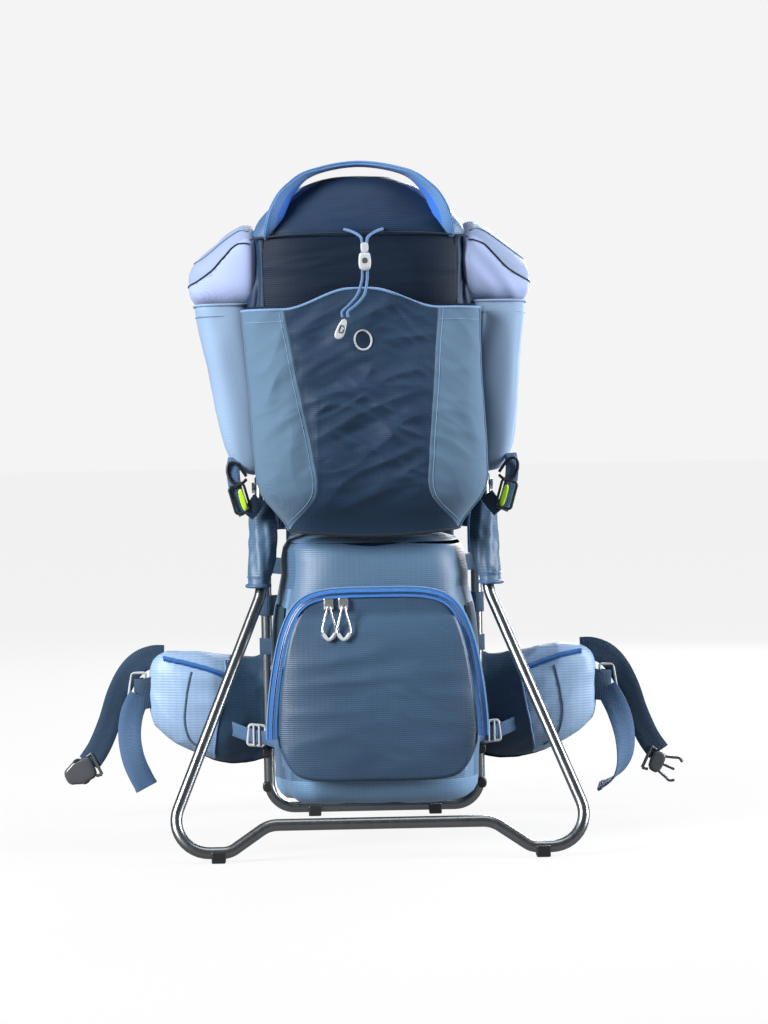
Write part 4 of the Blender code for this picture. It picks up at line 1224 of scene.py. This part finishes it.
def build_sleeve(side, s):
    """Gathered cloth round the top of a kickstand leg, with a bound mouth."""
    sections = []
    for j in range(25):
        t = j / 24
        z, x, y, radius = between(SLEEVE_LEVELS, t)
        ring = []
        for k in range(SLEEVE_SIDES):
            turn = 2 * math.pi * k / SLEEVE_SIDES
            loose = math.sin(math.pi * min(1.0, t * 1.1)) ** 0.7
            fold = crease(turn * 0.016 + 0.1, z, 113.0 + s, 0.012, 0.03, 0.7 * s)
            r = radius + loose * (0.0016 * fold + 0.0008 * math.sin(7 * turn + 9 * t * s))
            across = flattened(s, r * math.cos(turn))
            ring.append(Vector((s * x + across, y + 1.05 * r * math.sin(turn), z)))
        sections.append(ring)
    for z, x, y, r in ((0.268, 0.1182, -0.0925, 0.0098), (0.276, 0.1176, -0.09, 0.0086),
                       (0.33, 0.115, -0.069, 0.0086)):
        sections.append([Vector((s * x + r * math.cos(2 * math.pi * k / SLEEVE_SIDES),
                                 y + r * math.sin(2 * math.pi * k / SLEEVE_SIDES), z))
                         for k in range(SLEEVE_SIDES)])
    sleeve = closed_loft(f"sleeve_cloth_{side}", sections, "sleeve", 1, still, None, False)
    place(sleeve, "kickstand", "fabric_blue", (f"leg_sleeve_{side}",))
    for name, z, x, y, radius in (("cuff", 0.27, 0.1181, -0.0922, 0.0134),
                                  ("seam", 0.279, 0.1173, -0.0895, 0.0134)):
        ring = [Vector((s * x + flattened(s, radius * math.cos(2 * math.pi * k / SLEEVE_SIDES)),
                        y + 1.05 * radius * math.sin(2 * math.pi * k / SLEEVE_SIDES), z))
                for k in range(SLEEVE_SIDES)]
        thick = 0.002 if name == "cuff" else 0.0008
        tube(f"sleeve_{name}_{side}", ring, thick, "cheek", "kickstand", "fabric_blue", closed=True)


# Hip belt

HIP_STATIONS = ((0.088, 0.1535, 0.169, 0.07, 0.186), (0.106, 0.153, 0.17, 0.06, 0.188),
                (0.128, 0.15, 0.1705, 0.053, 0.186), (0.15, 0.14, 0.171, 0.054, 0.186),
                (0.18, 0.126, 0.17, 0.063, 0.19), (0.21, 0.123, 0.167, 0.074, 0.191),
                (0.235, 0.13, 0.162, 0.09, 0.188), (0.25, 0.139, 0.159, 0.106, 0.176))


def belt_line(z):
    """Where the hip pocket meets the wing's dark inner part, as a distance from the middle."""
    return between((0.178, 0.174, 0.166, 0.158), (z - 0.06) / 0.128)


def build_hip_belt():
    for side, s in SIDES:
        body = f"hip_wing_{side}"
        rings = [side_ring(s * x, y0, y1, z0, z1, 28, 3.0, 0.001) for x, y0, y1, z0, z1 in HIP_STATIONS]
        wing = closed_loft(f"hip_wing_cloth_{side}", rings, "belt", 1, still)
        swell(wing, 0.006)
        for vert in wing.data.vertices:
            fold = 0.0018 * crease(vert.co.x, vert.co.z, 91.0 + s, 0.06, 0.026, 0.6 * s)
            vert.co += vert.normal * fold
        place(wing, body, "fabric_light", (f"hip_wing_{side}",))
        second_look(wing, "belt_dark", lambda c, n, s=s: s * c.x < belt_line(c.z) or c.y > 0.156)
        inner = curve_through([(s * belt_line(z), 0.13, z) for z in (0.186, 0.17, 0.15, 0.13, 0.11, 0.09,
                                                                     0.062)])
        tube(f"hip_panel_seam_{side}", hugged(inner, wing), SEAM_R, "piping_light", body, "fabric_light",
             sides=6)
        seam = curve_through(to_side(s, [(0.201, 0.12, 0.166), (0.207, 0.12, 0.14), (0.21, 0.12, 0.112),
                                         (0.204, 0.123, 0.086), (0.188, 0.126, 0.07)]))
        tube(f"hip_pocket_seam_{side}", hugged(seam, wing), SEAM_R, "stretch", body, "fabric_light", sides=6)
        zip_line = curve_through(to_side(s, [(0.166, 0.125, 0.16), (0.186, 0.118, 0.17),
                                             (0.208, 0.117, 0.1775), (0.236, 0.124, 0.183)]))
        zip_line = resampled(hugged(zip_line, wing, 0.0006), 60)
        place(ribbon_piece(f"hip_zip_{side}", zip_line, (0, -0.25, 1), 0.0085, "tape", 0.0014), body,
              "handle_blue")
        teeth = [p + Vector((0, -0.0012, 0)) for p in zip_line]
        tube(f"hip_zip_teeth_{side}", teeth, 0.0009, "teeth", body, "handle_blue", sides=6)
        rim = []
        for i in range(49):
            x = 0.1 + (0.244 - 0.1) * i / 48
            z0 = between([r[3] for r in HIP_STATIONS], (x - 0.088) / 0.162)
            rim.append((s * x, 0.15, z0 + 0.002))
        tube(f"hip_edge_{side}", hugged(rim, wing), 0.0014, "piping", body, "fabric_dark")
        build_belt_end(side, s, body)


def hugged(points, piece, lift=0.0003):
    """The points moved onto the nearest place of a piece's surface, and a little above it."""
    moved = []
    for point in points:
        hit, place_at, normal, _ = piece.closest_point_on_mesh(Vector(point))
        moved.append(place_at + normal * lift if hit else Vector(point))
    return moved


def rounded_ring(name, centre, half_wide, half_tall, radius, look, wide=(1, 0, 0), tall=(0, 0, 1), bars=(),
                 corner=0.003):
    """A frame of round wire or moulded bar: a rounded rectangle, with cross bars at the given heights."""
    centre, wide, tall = Vector(centre), Vector(wide).normalized(), Vector(tall).normalized()
    line = []
    for cx, cz, start in ((1, 1, 0), (-1, 1, 90), (-1, -1, 180), (1, -1, 270)):
        for k in range(7):
            turn = math.radians(start + 15 * k)
            a = cx * (half_wide - corner) + corner * math.cos(turn)
            b = cz * (half_tall - corner) + corner * math.sin(turn)
            line.append(centre + wide * a + tall * b)
    ring = tube_piece(name, line, radius, look, 10, True, still)
    for i, height in enumerate(bars):
        ends = [centre + wide * half_wide * e + tall * height for e in (-1, -0.5, 0, 0.5, 1)]
        bar = tube_piece(f"{name}_bar{i}", ends, radius * 0.9, look, 10, False, still)
        bar.parent = ring
    return ring


def moulded(name, outline, centre, wide, tall, depth, look, crown=0.0012):
    """A moulded plate: an outline in two directions, domed on both faces and rounded at its edge."""
    centre, wide, tall = Vector(centre), Vector(wide).normalized(), Vector(tall).normalized()
    out = wide.cross(tall).normalized()
    points = [Vector(p) for p in outline]
    middle = sum(points, Vector((0, 0))) / len(points)
    sections = []
    for inset, height in ((0.8, -depth / 2 - crown), (0.94, -depth / 2), (1.0, -depth / 4), (1.0, depth / 4),
                          (0.94, depth / 2), (0.8, depth / 2 + crown)):
        ring = []
        for p in points:
            q = middle + (p - middle) * inset
            ring.append(centre + wide * q.x + tall * q.y + out * height)
        sections.append(ring)
    return closed_loft(name, sections, look, 1, still)


BELT_WIDE = 0.0255


def build_belt_end(side, s, body):
    """Webbing from the wing through the loop to the buckle, its free tail, and the loop's tab."""
    knots = [(0.232, 0.15, 0.18), (0.245, 0.147, 0.18), (0.26, 0.144, 0.174), (0.273, 0.143, 0.16),
             (0.284, 0.142, 0.138), (0.293, 0.1415, 0.11), (0.305, 0.141, 0.082), (0.317, 0.1405, 0.064)]
    path = resampled(curve_through(to_side(s, knots)), 80)
    strap = ribbon_piece(f"belt_strap_{side}", path, [(s * 0.15, 0.1, 1.0), (s * 0.9, -0.25, 0.6),
                                                      (s * 1.0, -0.1, 0.4)], BELT_WIDE, "web")
    place(strap, body, "webbing", (f"belt_webbing_{side}",))
    length_of(path)
    if side == "left":
        knots = [(0.259, 0.139, 0.138), (0.268, 0.1365, 0.118), (0.271, 0.1355, 0.092),
                 (0.266, 0.135, 0.064), (0.253, 0.135, 0.036)]
        across = [(s * 1.0, -0.35, 0.0), (s * 1.0, 0.1, 0.0), (s * 1.0, -0.25, 0.35)]
    else:
        knots = [(0.259, 0.139, 0.138), (0.272, 0.1365, 0.112), (0.279, 0.1355, 0.084),
                 (0.278, 0.135, 0.058), (0.268, 0.137, 0.038), (0.25, 0.143, 0.026)]
        across = [(s * 1.0, -0.35, 0.0), (s * 0.9, 0.5, 0.1), (s * 0.25, 1.0, 0.25)]
    path = resampled(curve_through(to_side(s, knots)), 80)
    tail = ribbon_piece(f"belt_tail_{side}", path, across, BELT_WIDE, "web_light")
    place(tail, body, "webbing")
    length_of(path)
    hem = [p.copy() for p in path[-4:]]
    place(ribbon_piece(f"belt_tail_hem_{side}", resampled(hem, 6), across[-1], 0.0262, "web_light", 0.0032),
          body, "webbing")
    ring = rounded_ring(f"belt_ring_{side}", (s * 0.2635, 0.144, 0.14), 0.0078, 0.023, 0.0017, "grey",
                        (1, 0, 0), (s * -0.14, 0, 1.0), ())
    place(ring, body, "grey_plastic", (f"belt_loop_{side}",))
    tab = to_side(s, [(0.242, 0.142, 0.142), (0.252, 0.14, 0.14), (0.26, 0.1405, 0.1395),
                      (0.265, 0.1435, 0.139), (0.26, 0.1475, 0.1395), (0.25, 0.149, 0.141)])
    lay_web(f"loop_tab_{side}", tab, 40, (0, 0, 1), 0.034, "web", body, 0.0014)
    build_buckle(side, s, body)


def build_buckle(side, s, body):
    """The hip belt's side-release buckle: the socket hangs on the left strap, the plug on the right one."""
    low, high = [Vector(c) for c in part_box("buckle_socket" if side == "left" else "buckle_plug")]
    centre = (low + high) / 2
    along = Vector((s * 0.9, 0, -0.42)).normalized()
    wide = Vector((0.42, 0, s * 0.9)).normalized()
    if side == "left":
        half = [(0.0, 0.0135), (0.006, 0.0135), (0.01, 0.0105), (0.015, 0.0098), (0.0185, 0.006),
                (0.019, 0.0)]
        body_line = [(-0.016, 0.0), (-0.016, 0.01), (-0.012, 0.0128), (-0.005, 0.0135)] + half
        outline = body_line + [(x, -y) for x, y in reversed(body_line[1:-1])]
        shell = moulded("socket_shell", outline, centre + along * 0.001, along, wide, 0.007, "smoke", 0.0012)
        place(shell, body, "black_plastic", ("buckle_socket",))
        # Solid black plates at the socket's sides stand for its cut-outs: painted shade of the openings.
        for sign in (-1, 1):
            grip = [(0.0, 0.0), (0.003, 0.0026), (0.0085, 0.0026), (0.0115, 0.0), (0.0085, -0.0012),
                    (0.003, -0.0012)]
            spot = centre + along * -0.005 + wide * 0.0125 * sign
            place(moulded(f"socket_window_{sign > 0}", grip, spot, along, wide * sign, 0.0078, "black",
                          0.0004), body, "black_plastic")
    else:
        block = [(-0.015, -0.011), (-0.015, 0.011), (-0.006, 0.0128), (0.001, 0.0118), (0.002, 0.0),
                 (0.001, -0.0118), (-0.006, -0.0128)]
        shell = moulded("plug_shell", block, centre, along, wide, 0.0062, "smoke", 0.001)
        place(shell, body, "black_plastic", ("buckle_plug",))
        for i, offset in enumerate((-0.0095, 0.0, 0.0095)):
            tip = 0.02 if i != 1 else 0.015
            start = centre + along * -0.001 + wide * offset * 0.9
            end = centre + along * tip + wide * offset * (1.0 if i == 1 else 1.15)
            barb = end - along * 0.005 + wide * (offset * 0.28)
            line = curve_through([start, start.lerp(barb, 0.6), barb, end], 5)
            tube(f"plug_prong_{i}", line, 0.0017, "smoke", body, "black_plastic", sides=10)
    bar = [centre - along * 0.0185 + wide * w for w in (-0.013, -0.006, 0.0, 0.006, 0.013)]
    tube(f"buckle_bar_{side}", bar, 0.0018, "smoke", body, "black_plastic", sides=10)
    for sign in (-1, 1):
        cheek = [centre - along * 0.0185 + wide * 0.013 * sign,
                 centre - along * 0.012 + wide * 0.0118 * sign]
        tube(f"buckle_cheek_{side}_{sign > 0}", cheek, 0.0018, "smoke", body, "black_plastic", sides=10)


def build_small_straps():
    """Compression straps through their ladder locks, and the side-entry straps."""
    for side, s in SIDES:
        path = to_side(s, [(0.108, 0.113, 0.086), (0.118, 0.123, 0.089), (0.127, 0.125, 0.0905),
                           (0.133, 0.125, 0.0915), (0.144, 0.127, 0.095), (0.16, 0.133, 0.101)])
        lay_web(f"compression_strap_{side}", path, 50, (0.15 * s, 0, 1), 0.015, "web_light", ROOT, 0.0014)
        lock = rounded_ring(f"ladder_frame_{side}", (s * 0.13, 0.1262, 0.0925), 0.0092, 0.0112, 0.0017,
                            "grey", (1, 0, 0.1 * s), (-0.1 * s, 0, 1), ())
        place(lock, ROOT, "grey_plastic", (f"ladder_lock_{side}",))
        for i, offset in enumerate((-0.003, 0.003)):
            bar = [Vector((s * (0.13 + offset), 0.124, 0.0925 + h))
                   for h in (-0.0112, -0.005, 0, 0.005, 0.0112)]
            tube(f"ladder_bar_{side}_{i}", bar, 0.0013, "grey", ROOT, "grey_plastic")
        build_side_buckle(side, s)


def build_side_buckle(side, s):
    hook = curve_through(to_side(s, [(0.13, -0.096, 0.383), (0.14, -0.0975, 0.396), (0.148, -0.0985, 0.396),
                                     (0.149, -0.099, 0.386), (0.144, -0.1, 0.377), (0.135, -0.0995, 0.376),
                                     (0.13, -0.097, 0.38)]), 6)
    hook = tube_piece(f"side_hook_{side}", hook, 0.0016, "black", 10, False, still)
    place(hook, ROOT, "black_plastic")
    path = to_side(s, [(0.142, -0.093, 0.402), (0.1435, -0.0965, 0.39), (0.142, -0.098, 0.374),
                       (0.137, -0.0975, 0.356), (0.132, -0.0965, 0.344)])
    lay_web(f"side_entry_strap_{side}", path, 50, (1, 0.1, -0.3 * s), 0.0135, "web_light", ROOT, 0.0014)
    path = [(s * 0.117, -0.09, 0.36), (s * 0.124, -0.0935, 0.35), (s * 0.13, -0.096, 0.343)]
    lay_web(f"side_entry_end_{side}", path, 24, (1, 0, 1.0 * s), 0.015, "web", ROOT, 0.0022)
    frame_ring = rounded_ring(f"side_frame_{side}", (s * 0.137, -0.1015, 0.36), 0.008, 0.0142, 0.0014,
                              "black", (1, 0, -0.28 * s), (0.28 * s, 0, 1), ())
    place(frame_ring, ROOT, "black_plastic", (f"side_buckle_{side}",))
    lever = [(-0.0026, -0.0108), (-0.003, 0.0), (-0.0024, 0.0108), (0.001, 0.012), (0.003, 0.0108),
             (0.0032, 0.0), (0.0026, -0.011), (0.0, -0.012)]
    green = moulded(f"side_lever_{side}", lever, (s * 0.134, -0.1052, 0.359), (1, 0, -0.28 * s),
                    (0.28 * s, 0, 1), 0.003, "green", 0.0008)
    place(green, f"side_release_{side}", "green_plastic", (f"side_release_{side}",))


# Wearer's side

def soft_stack(name, levels, look, cap, body, node_name):
    """A filled cushion through level rings, swollen by no more than cap."""
    rings = [level_ring(z, x0, x1, y0, y1, 32, 3.2) for z, x0, x1, y0, y1 in levels]
    piece = closed_loft(name, rings, look, 1, still)
    swell(piece, cap)
    place(piece, body, "mesh_pad", (node_name,))
    return piece


def build_back():
    panel = [(0.21, -0.09, 0.09, 0.1535, 0.166), (0.235, -0.098, 0.098, 0.1535, 0.17),
             (0.32, -0.098, 0.098, 0.1535, 0.1705), (0.43, -0.093, 0.093, 0.1535, 0.17),
             (0.515, -0.084, 0.084, 0.1535, 0.168)]
    soft_stack("back_pad", panel, "mesh", 0.003, ROOT, "back_panel")
    lumbar = [(0.069, -0.07, 0.07, 0.1535, 0.168), (0.09, -0.084, 0.084, 0.1535, 0.179),
              (0.13, -0.085, 0.085, 0.1535, 0.18), (0.165, -0.084, 0.084, 0.1535, 0.179),
              (0.194, -0.072, 0.072, 0.1535, 0.168)]
    soft_stack("lumbar_cushion", lumbar, "mesh", 0.005, ROOT, "lumbar_pad")
    yoke = [(0.53, -0.054, 0.054, 0.1535, 0.162), (0.545, -0.064, 0.064, 0.1535, 0.164),
            (0.574, -0.064, 0.064, 0.1535, 0.164), (0.589, -0.054, 0.054, 0.1535, 0.162)]
    soft_stack("yoke_pad", yoke, "navy", 0.003, "yoke", "shoulder_yoke")
    edge_piping("back_pad_piping", "back_pad", 0.0975, 0.213, 0.513, 0.164)
    edge_piping("lumbar_piping", "lumbar_cushion", 0.0845, 0.072, 0.1915, 0.166)
    for side, s in SIDES:
        build_shoulder_strap(side, s)
        channel = curve_through([(s * 0.03, 0.172, 0.225), (s * 0.034, 0.172, 0.36),
                                 (s * 0.03, 0.172, 0.505)])
        tube(f"back_channel_{side}", hugged(channel, bpy.data.objects["back_pad"]), 0.0016, "piping", ROOT,
             "mesh_pad")
        build_frame_tabs(side, s)
    web = resampled([Vector((x, 0.2032 - 0.0008 * (1 - (x / 0.062) ** 2), 0.476 + 0.005 * (x / 0.062) ** 2))
                     for x in [0.062 * (i / 20 - 1) for i in range(41)]], 41)
    place(ribbon_piece("chest_web", web, (0, 0, 1), STRAP_WIDE, "web"), "chest_strap", "webbing",
          ("chest_strap",))
    outline = [(-0.019, -0.008), (-0.019, 0.008), (-0.008, 0.0116), (0.006, 0.0108), (0.019, 0.009),
               (0.019, -0.009), (0.006, -0.0108), (-0.008, -0.0116)]
    clip = moulded("chest_clip", outline, (0, 0.2028, 0.4762), (1, 0, 0), (0, 0, 1), 0.0036, "black", 0.0004)
    place(clip, "chest_strap", "black_plastic")
    for x, width in ((0.0, 0.04), (-0.052, 0.016), (0.052, 0.016)):
        path = [(x, 0.1508, 0.512), (x, 0.1508, 0.56), (x, 0.15, 0.59), (x, 0.143, 0.605),
                (x, 0.133, 0.6072), (x, 0.1272, 0.6)]
        lay_web(f"slide_web_{round(x * 1000) + 100}", path, 50, (1, 0, 0), width, "web", ROOT, 0.0012)


def edge_piping(name, pad, half, low, high, y, corner=0.014):
    """A cord sewn round the face of a pad."""
    line = []
    middle = Vector((0, y, (low + high) / 2))
    for cx, cz, start in ((1, 1, 0), (-1, 1, 90), (-1, -1, 180), (1, -1, 270)):
        for k in range(8):
            turn = math.radians(start + 90 * k / 7)
            line.append(Vector((cx * (half - corner) + corner * math.cos(turn), y,
                                middle.z + cz * ((high - low) / 2 - corner) + corner * math.sin(turn))))
    line = resampled(line + [line[0]], 160)[:-1]
    piece = tube_piece(name, hugged(line, bpy.data.objects[pad], 0.0004), 0.0013, "piping_light", 8, True,
                       still)
    place(piece, ROOT, "fabric_dark")


def build_frame_tabs(side, s):
    """Webbing tabs that hold the back pads, the bag and the seat shell to the frame tube."""
    for i, z in enumerate((0.235, 0.33, 0.425, 0.5)):
        path = to_side(s, [(0.09, 0.156, z), (0.102, 0.156, z), (0.114, 0.1535, z), (0.1225, 0.1515, z),
                           (0.1245, 0.146, z), (0.1215, 0.1385, z), (0.113, 0.137, z), (0.102, 0.15, z)])
        drop = 0.015 * ease(0.33, 0.625, z)
        path = [(x, y - drop * ease(0.1, 0.112, abs(x)), z) for x, y, z in path]
        lay_web(f"back_tab_{side}_{i}", path, 50, (0, 0, 1), 0.022, "web", ROOT, 0.0014)
    for i, (z, x, y, tube_y) in enumerate(((0.085, 0.096, 0.112, 0.145), (0.19, 0.1, 0.114, 0.145),
                                           (0.28, 0.098, 0.112, 0.145), (0.435, 0.093, 0.12, 0.14),
                                           (0.53, 0.096, 0.122, 0.135))):
        path = to_side(s, [(x, y, z), (x + 0.01, tube_y - 0.013, z), (0.117, tube_y - 0.0078, z),
                           (0.1246, tube_y - 0.001, z), (0.118, tube_y + 0.0075, z),
                           (0.109, tube_y + 0.001, z), (x + 0.004, y + 0.01, z)])
        lay_web(f"frame_tab_{side}_{i}", path, 50, (0, 0, 1), 0.018, "web", ROOT, 0.0014)


def build_shoulder_strap(side, s):
    knots = to_side(s, [(0.045, 0.174, 0.59), (0.049, 0.183, 0.572), (0.056, 0.191, 0.53),
                        (0.065, 0.1935, 0.46), (0.073, 0.1925, 0.39), (0.078, 0.188, 0.332)])
    path = resampled(curve_through(knots), 24)
    sections = []
    for i, point in enumerate(path):
        t = i / (len(path) - 1)
        half = between([0.025, 0.029, 0.029, 0.027, 0.02, 0.013], t)
        deep = between([0.003, 0.0056, 0.0062, 0.0062, 0.0055, 0.004], t)
        ahead = (path[min(i + 1, 23)] - path[max(i - 1, 0)]).normalized()
        wide = Vector((1, 0, 0))
        wide = (wide - ahead * wide.dot(ahead)).normalized()
        normal = ahead.cross(wide)
        ring = []
        for k in range(24):
            turn = 2 * math.pi * (k + 0.5) / 24
            a = half * math.copysign(abs(math.cos(turn)) ** 0.6, math.cos(turn))
            b = deep * math.copysign(abs(math.sin(turn)) ** 0.6, math.sin(turn))
            ring.append(point + wide * a + normal * b)
        sections.append(ring)
    pad = closed_loft(f"shoulder_pad_{side}", sections, "mesh", 2, still)
    second_look(pad, "lid", lambda c, n: n.y > 0.25)
    place(pad, "shoulder_straps", "mesh_pad", (f"shoulder_strap_{side}",))
    for edge in (-1, 1):
        line = [p + Vector((edge * between([0.0242, 0.0283, 0.0283, 0.0262, 0.0192, 0.0122], i / 23), 0, 0))
                for i, p in enumerate(path)]
        tube(f"shoulder_binding_{side}_{edge > 0}", hugged(line, pad), 0.0016, "piping_light",
             "shoulder_straps", "fabric_dark")
    web = to_side(s, [(0.056, 0.1975, 0.545), (0.061, 0.2003, 0.51), (0.067, 0.201, 0.44),
                      (0.073, 0.1998, 0.39), (0.0775, 0.195, 0.34)])
    lay_web(f"shoulder_web_{side}", web, 60, (1, 0, 0), STRAP_WIDE, "web", "shoulder_straps")
    low = to_side(s, [(0.078, 0.1925, 0.342), (0.0795, 0.189, 0.315), (0.08, 0.183, 0.285),
                      (0.08, 0.1775, 0.26), (0.08, 0.1758, 0.245), (0.08, 0.1755, 0.232)])
    low = ribbon_piece(f"shoulder_lower_web_{side}", resampled(curve_through(low), 70), (1, 0, 0),
                       STRAP_WIDE, "web_light")
    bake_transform(low)
    buckle = rounded_ring(f"strap_adjuster_{side}", (s * 0.0782, 0.193, 0.333), 0.0122, 0.0085, 0.0018,
                          "black", (1, 0, 0), (0, 0.1, 1), (0.0, 0.0045))
    place(buckle, "shoulder_straps", "black_plastic")
    anchor = rounded_ring(f"web_anchor_{side}", (s * 0.08, 0.1768, 0.242), 0.0118, 0.0058, 0.0013, "black",
                          (1, 0, 0), (0, 0, 1), (0.0,))
    place(anchor, "yoke", "black_plastic")
    root = to_side(s, [(0.044, 0.1645, 0.56), (0.044, 0.1668, 0.58), (0.045, 0.169, 0.5925),
                       (0.046, 0.174, 0.5965), (0.0475, 0.18, 0.588), (0.049, 0.1865, 0.57)])
    root = ribbon_piece(f"strap_root_{side}", resampled(curve_through(root), 40), (1, 0, 0), (0.046, 0.052),
                        "lid", 0.0016)
    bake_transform(root)


# Inside: seat, chin pad, harness and footrests

def build_inside():
    seat = [(0.405, -0.064, 0.064, -0.064, 0.096), (0.411, -0.071, 0.071, -0.07, 0.101),
            (0.422, -0.071, 0.071, -0.07, 0.101), (0.4285, -0.064, 0.064, -0.064, 0.096)]
    soft_stack("seat_cushion", seat, "mesh", 0.003, "seat", "child_seat")
    chin = [(0.63, -0.067, 0.067, 0.1, 0.122), (0.64, -0.073, 0.073, 0.096, 0.126),
            (0.653, -0.073, 0.073, 0.096, 0.126), (0.662, -0.063, 0.063, 0.101, 0.121)]
    soft_stack("chin_cushion", chin, "mesh", 0.003, ROOT, "chin_pad")
    for side, s in SIDES:
        path = resampled(curve_through(to_side(s, [(0.034, -0.0945, 0.595), (0.034, -0.0925, 0.54),
                                                   (0.03, -0.0885, 0.492), (0.017, -0.0865, 0.478)])), 30)
        pad = ribbon_piece(f"harness_pad_{side}", path, (1, 0, 0), (0.036, 0.026), "mesh", 0.0055)
        place(pad, ROOT, "mesh_pad", (f"harness_strap_{side}",))
        step = resampled(curve_through(to_side(s, [(0.101, 0.055, 0.3615), (0.105, 0.05, 0.36),
                                                   (0.1095, 0.048, 0.351), (0.1095, 0.045, 0.32),
                                                   (0.1095, 0.047, 0.299), (0.1095, 0.055, 0.2945),
                                                   (0.1095, 0.063, 0.299), (0.1095, 0.065, 0.32),
                                                   (0.1095, 0.062, 0.351), (0.105, 0.06, 0.36),
                                                   (0.101, 0.055, 0.3615)])), 90)
        place(ribbon_piece(f"stirrup_web_{side}", step, (1, 0, 0), 0.011, "web_light", 0.002),
              f"footrest_{side}", "webbing", (f"footrest_{side}",))


# Frame tubes

TUBE_R = 0.006
TUBE_SIDES = 28
TUBE_Z = 0.0095
STAND_Y = -0.195
STAND_SLOPE = 0.4022191


def rounded_route(corners, radii, steps=12):
    """The polyline through corners, each inner one rounded to an arc of its radius."""
    corners = [Vector(c) for c in corners]
    path = [corners[0]]
    for before, corner, after, radius in zip(corners, corners[1:], corners[2:], radii):
        back, ahead = (before - corner).normalized(), (after - corner).normalized()
        half = back.angle(ahead) / 2
        centre = corner + (back + ahead).normalized() * radius / math.sin(half)
        start = corner + back * radius / math.tan(half)
        end = corner + ahead * radius / math.tan(half)
        for i in range(steps + 1):
            path.append(centre + (start - centre).slerp(end - centre, i / steps).normalized() * radius)
    path.append(corners[-1])
    return path


def build_frame_tubes():
    """The bent tubes of the frame and the kickstand, rounder than the CAD solids they stand for."""
    right = [(x, STAND_Y + (z - TUBE_Z) * STAND_SLOPE, z)
             for x, z in ((0.117, 0.38), (0.117, 0.262), (0.2195, TUBE_Z), (0.151, TUBE_Z), (0.112, 0.035))]
    route = right + [(-x, y, z) for x, y, z in reversed(right)]
    path = rounded_route(route, (0.05, 0.034, 0.022, 0.03, 0.03, 0.022, 0.034, 0.05))
    tube("kickstand_tube", path, TUBE_R, "tube", "kickstand", "tube", sides=TUBE_SIDES,
         stands_for=("kickstand",))
    right = [(0.117, 0.13, 0.625), (0.117, 0.145, 0.33), (0.117, 0.145, TUBE_Z)]
    route = right + [(-x, y, z) for x, y, z in reversed(right)]
    path = rounded_route(route, (0.15, 0.028, 0.028, 0.15))
    tube("frame_tube", path, TUBE_R, "tube", ROOT, "tube", sides=TUBE_SIDES, stands_for=("main_frame",))
    for side, s in SIDES:
        for x, y, z in ((0.1195, 0.1375, 0.072), (0.1195, 0.1375, 0.034)):
            knob = [super_ring((s * x, y + d, z), 0.0052 * w, 0.0062 * w, "y", 20, 2.6)
                    for d, w in ((-0.004, 0.75), (-0.0028, 1.0), (0.002, 1.0), (0.003, 0.8))]
            place(closed_loft(f"frame_catch_{side}_{z > 0.05}", knob, "black", 1, still), ROOT,
                  "black_plastic")


def look_of(name, key):
    """Gives a CAD node that stays its finished material."""
    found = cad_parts[name]
    found.data.materials.clear()
    found.data.materials.append(MATERIALS[key])


def dress_cad_nodes():
    look_of("frame_crossbar", "tube")
    look_of("harness_buckle", "black")
    look_of("harness_button", "green")
    for side, _ in SIDES:
        look_of(f"hinge_arm_{side}", "tube")
        look_of(f"hinge_pin_{side}", "steel")
        look_of(f"frame_foot_{side}", "black")
        look_of(f"kickstand_foot_{side}", "black")
        look_of(f"door_slider_{side}", "steel")


build_materials()
build_camera()
build_studio()
build_cords()
build_shell()
build_upper_panel()
build_wings()
build_side_pockets()
build_front_pocket()
build_headrest()
build_handle()
build_bag()
build_door()
build_pulls()
build_side_bands()
build_frame_tubes()
build_cord_fittings()
build_hip_belt()
build_small_straps()
build_back()
build_inside()
dress_cad_nodes()
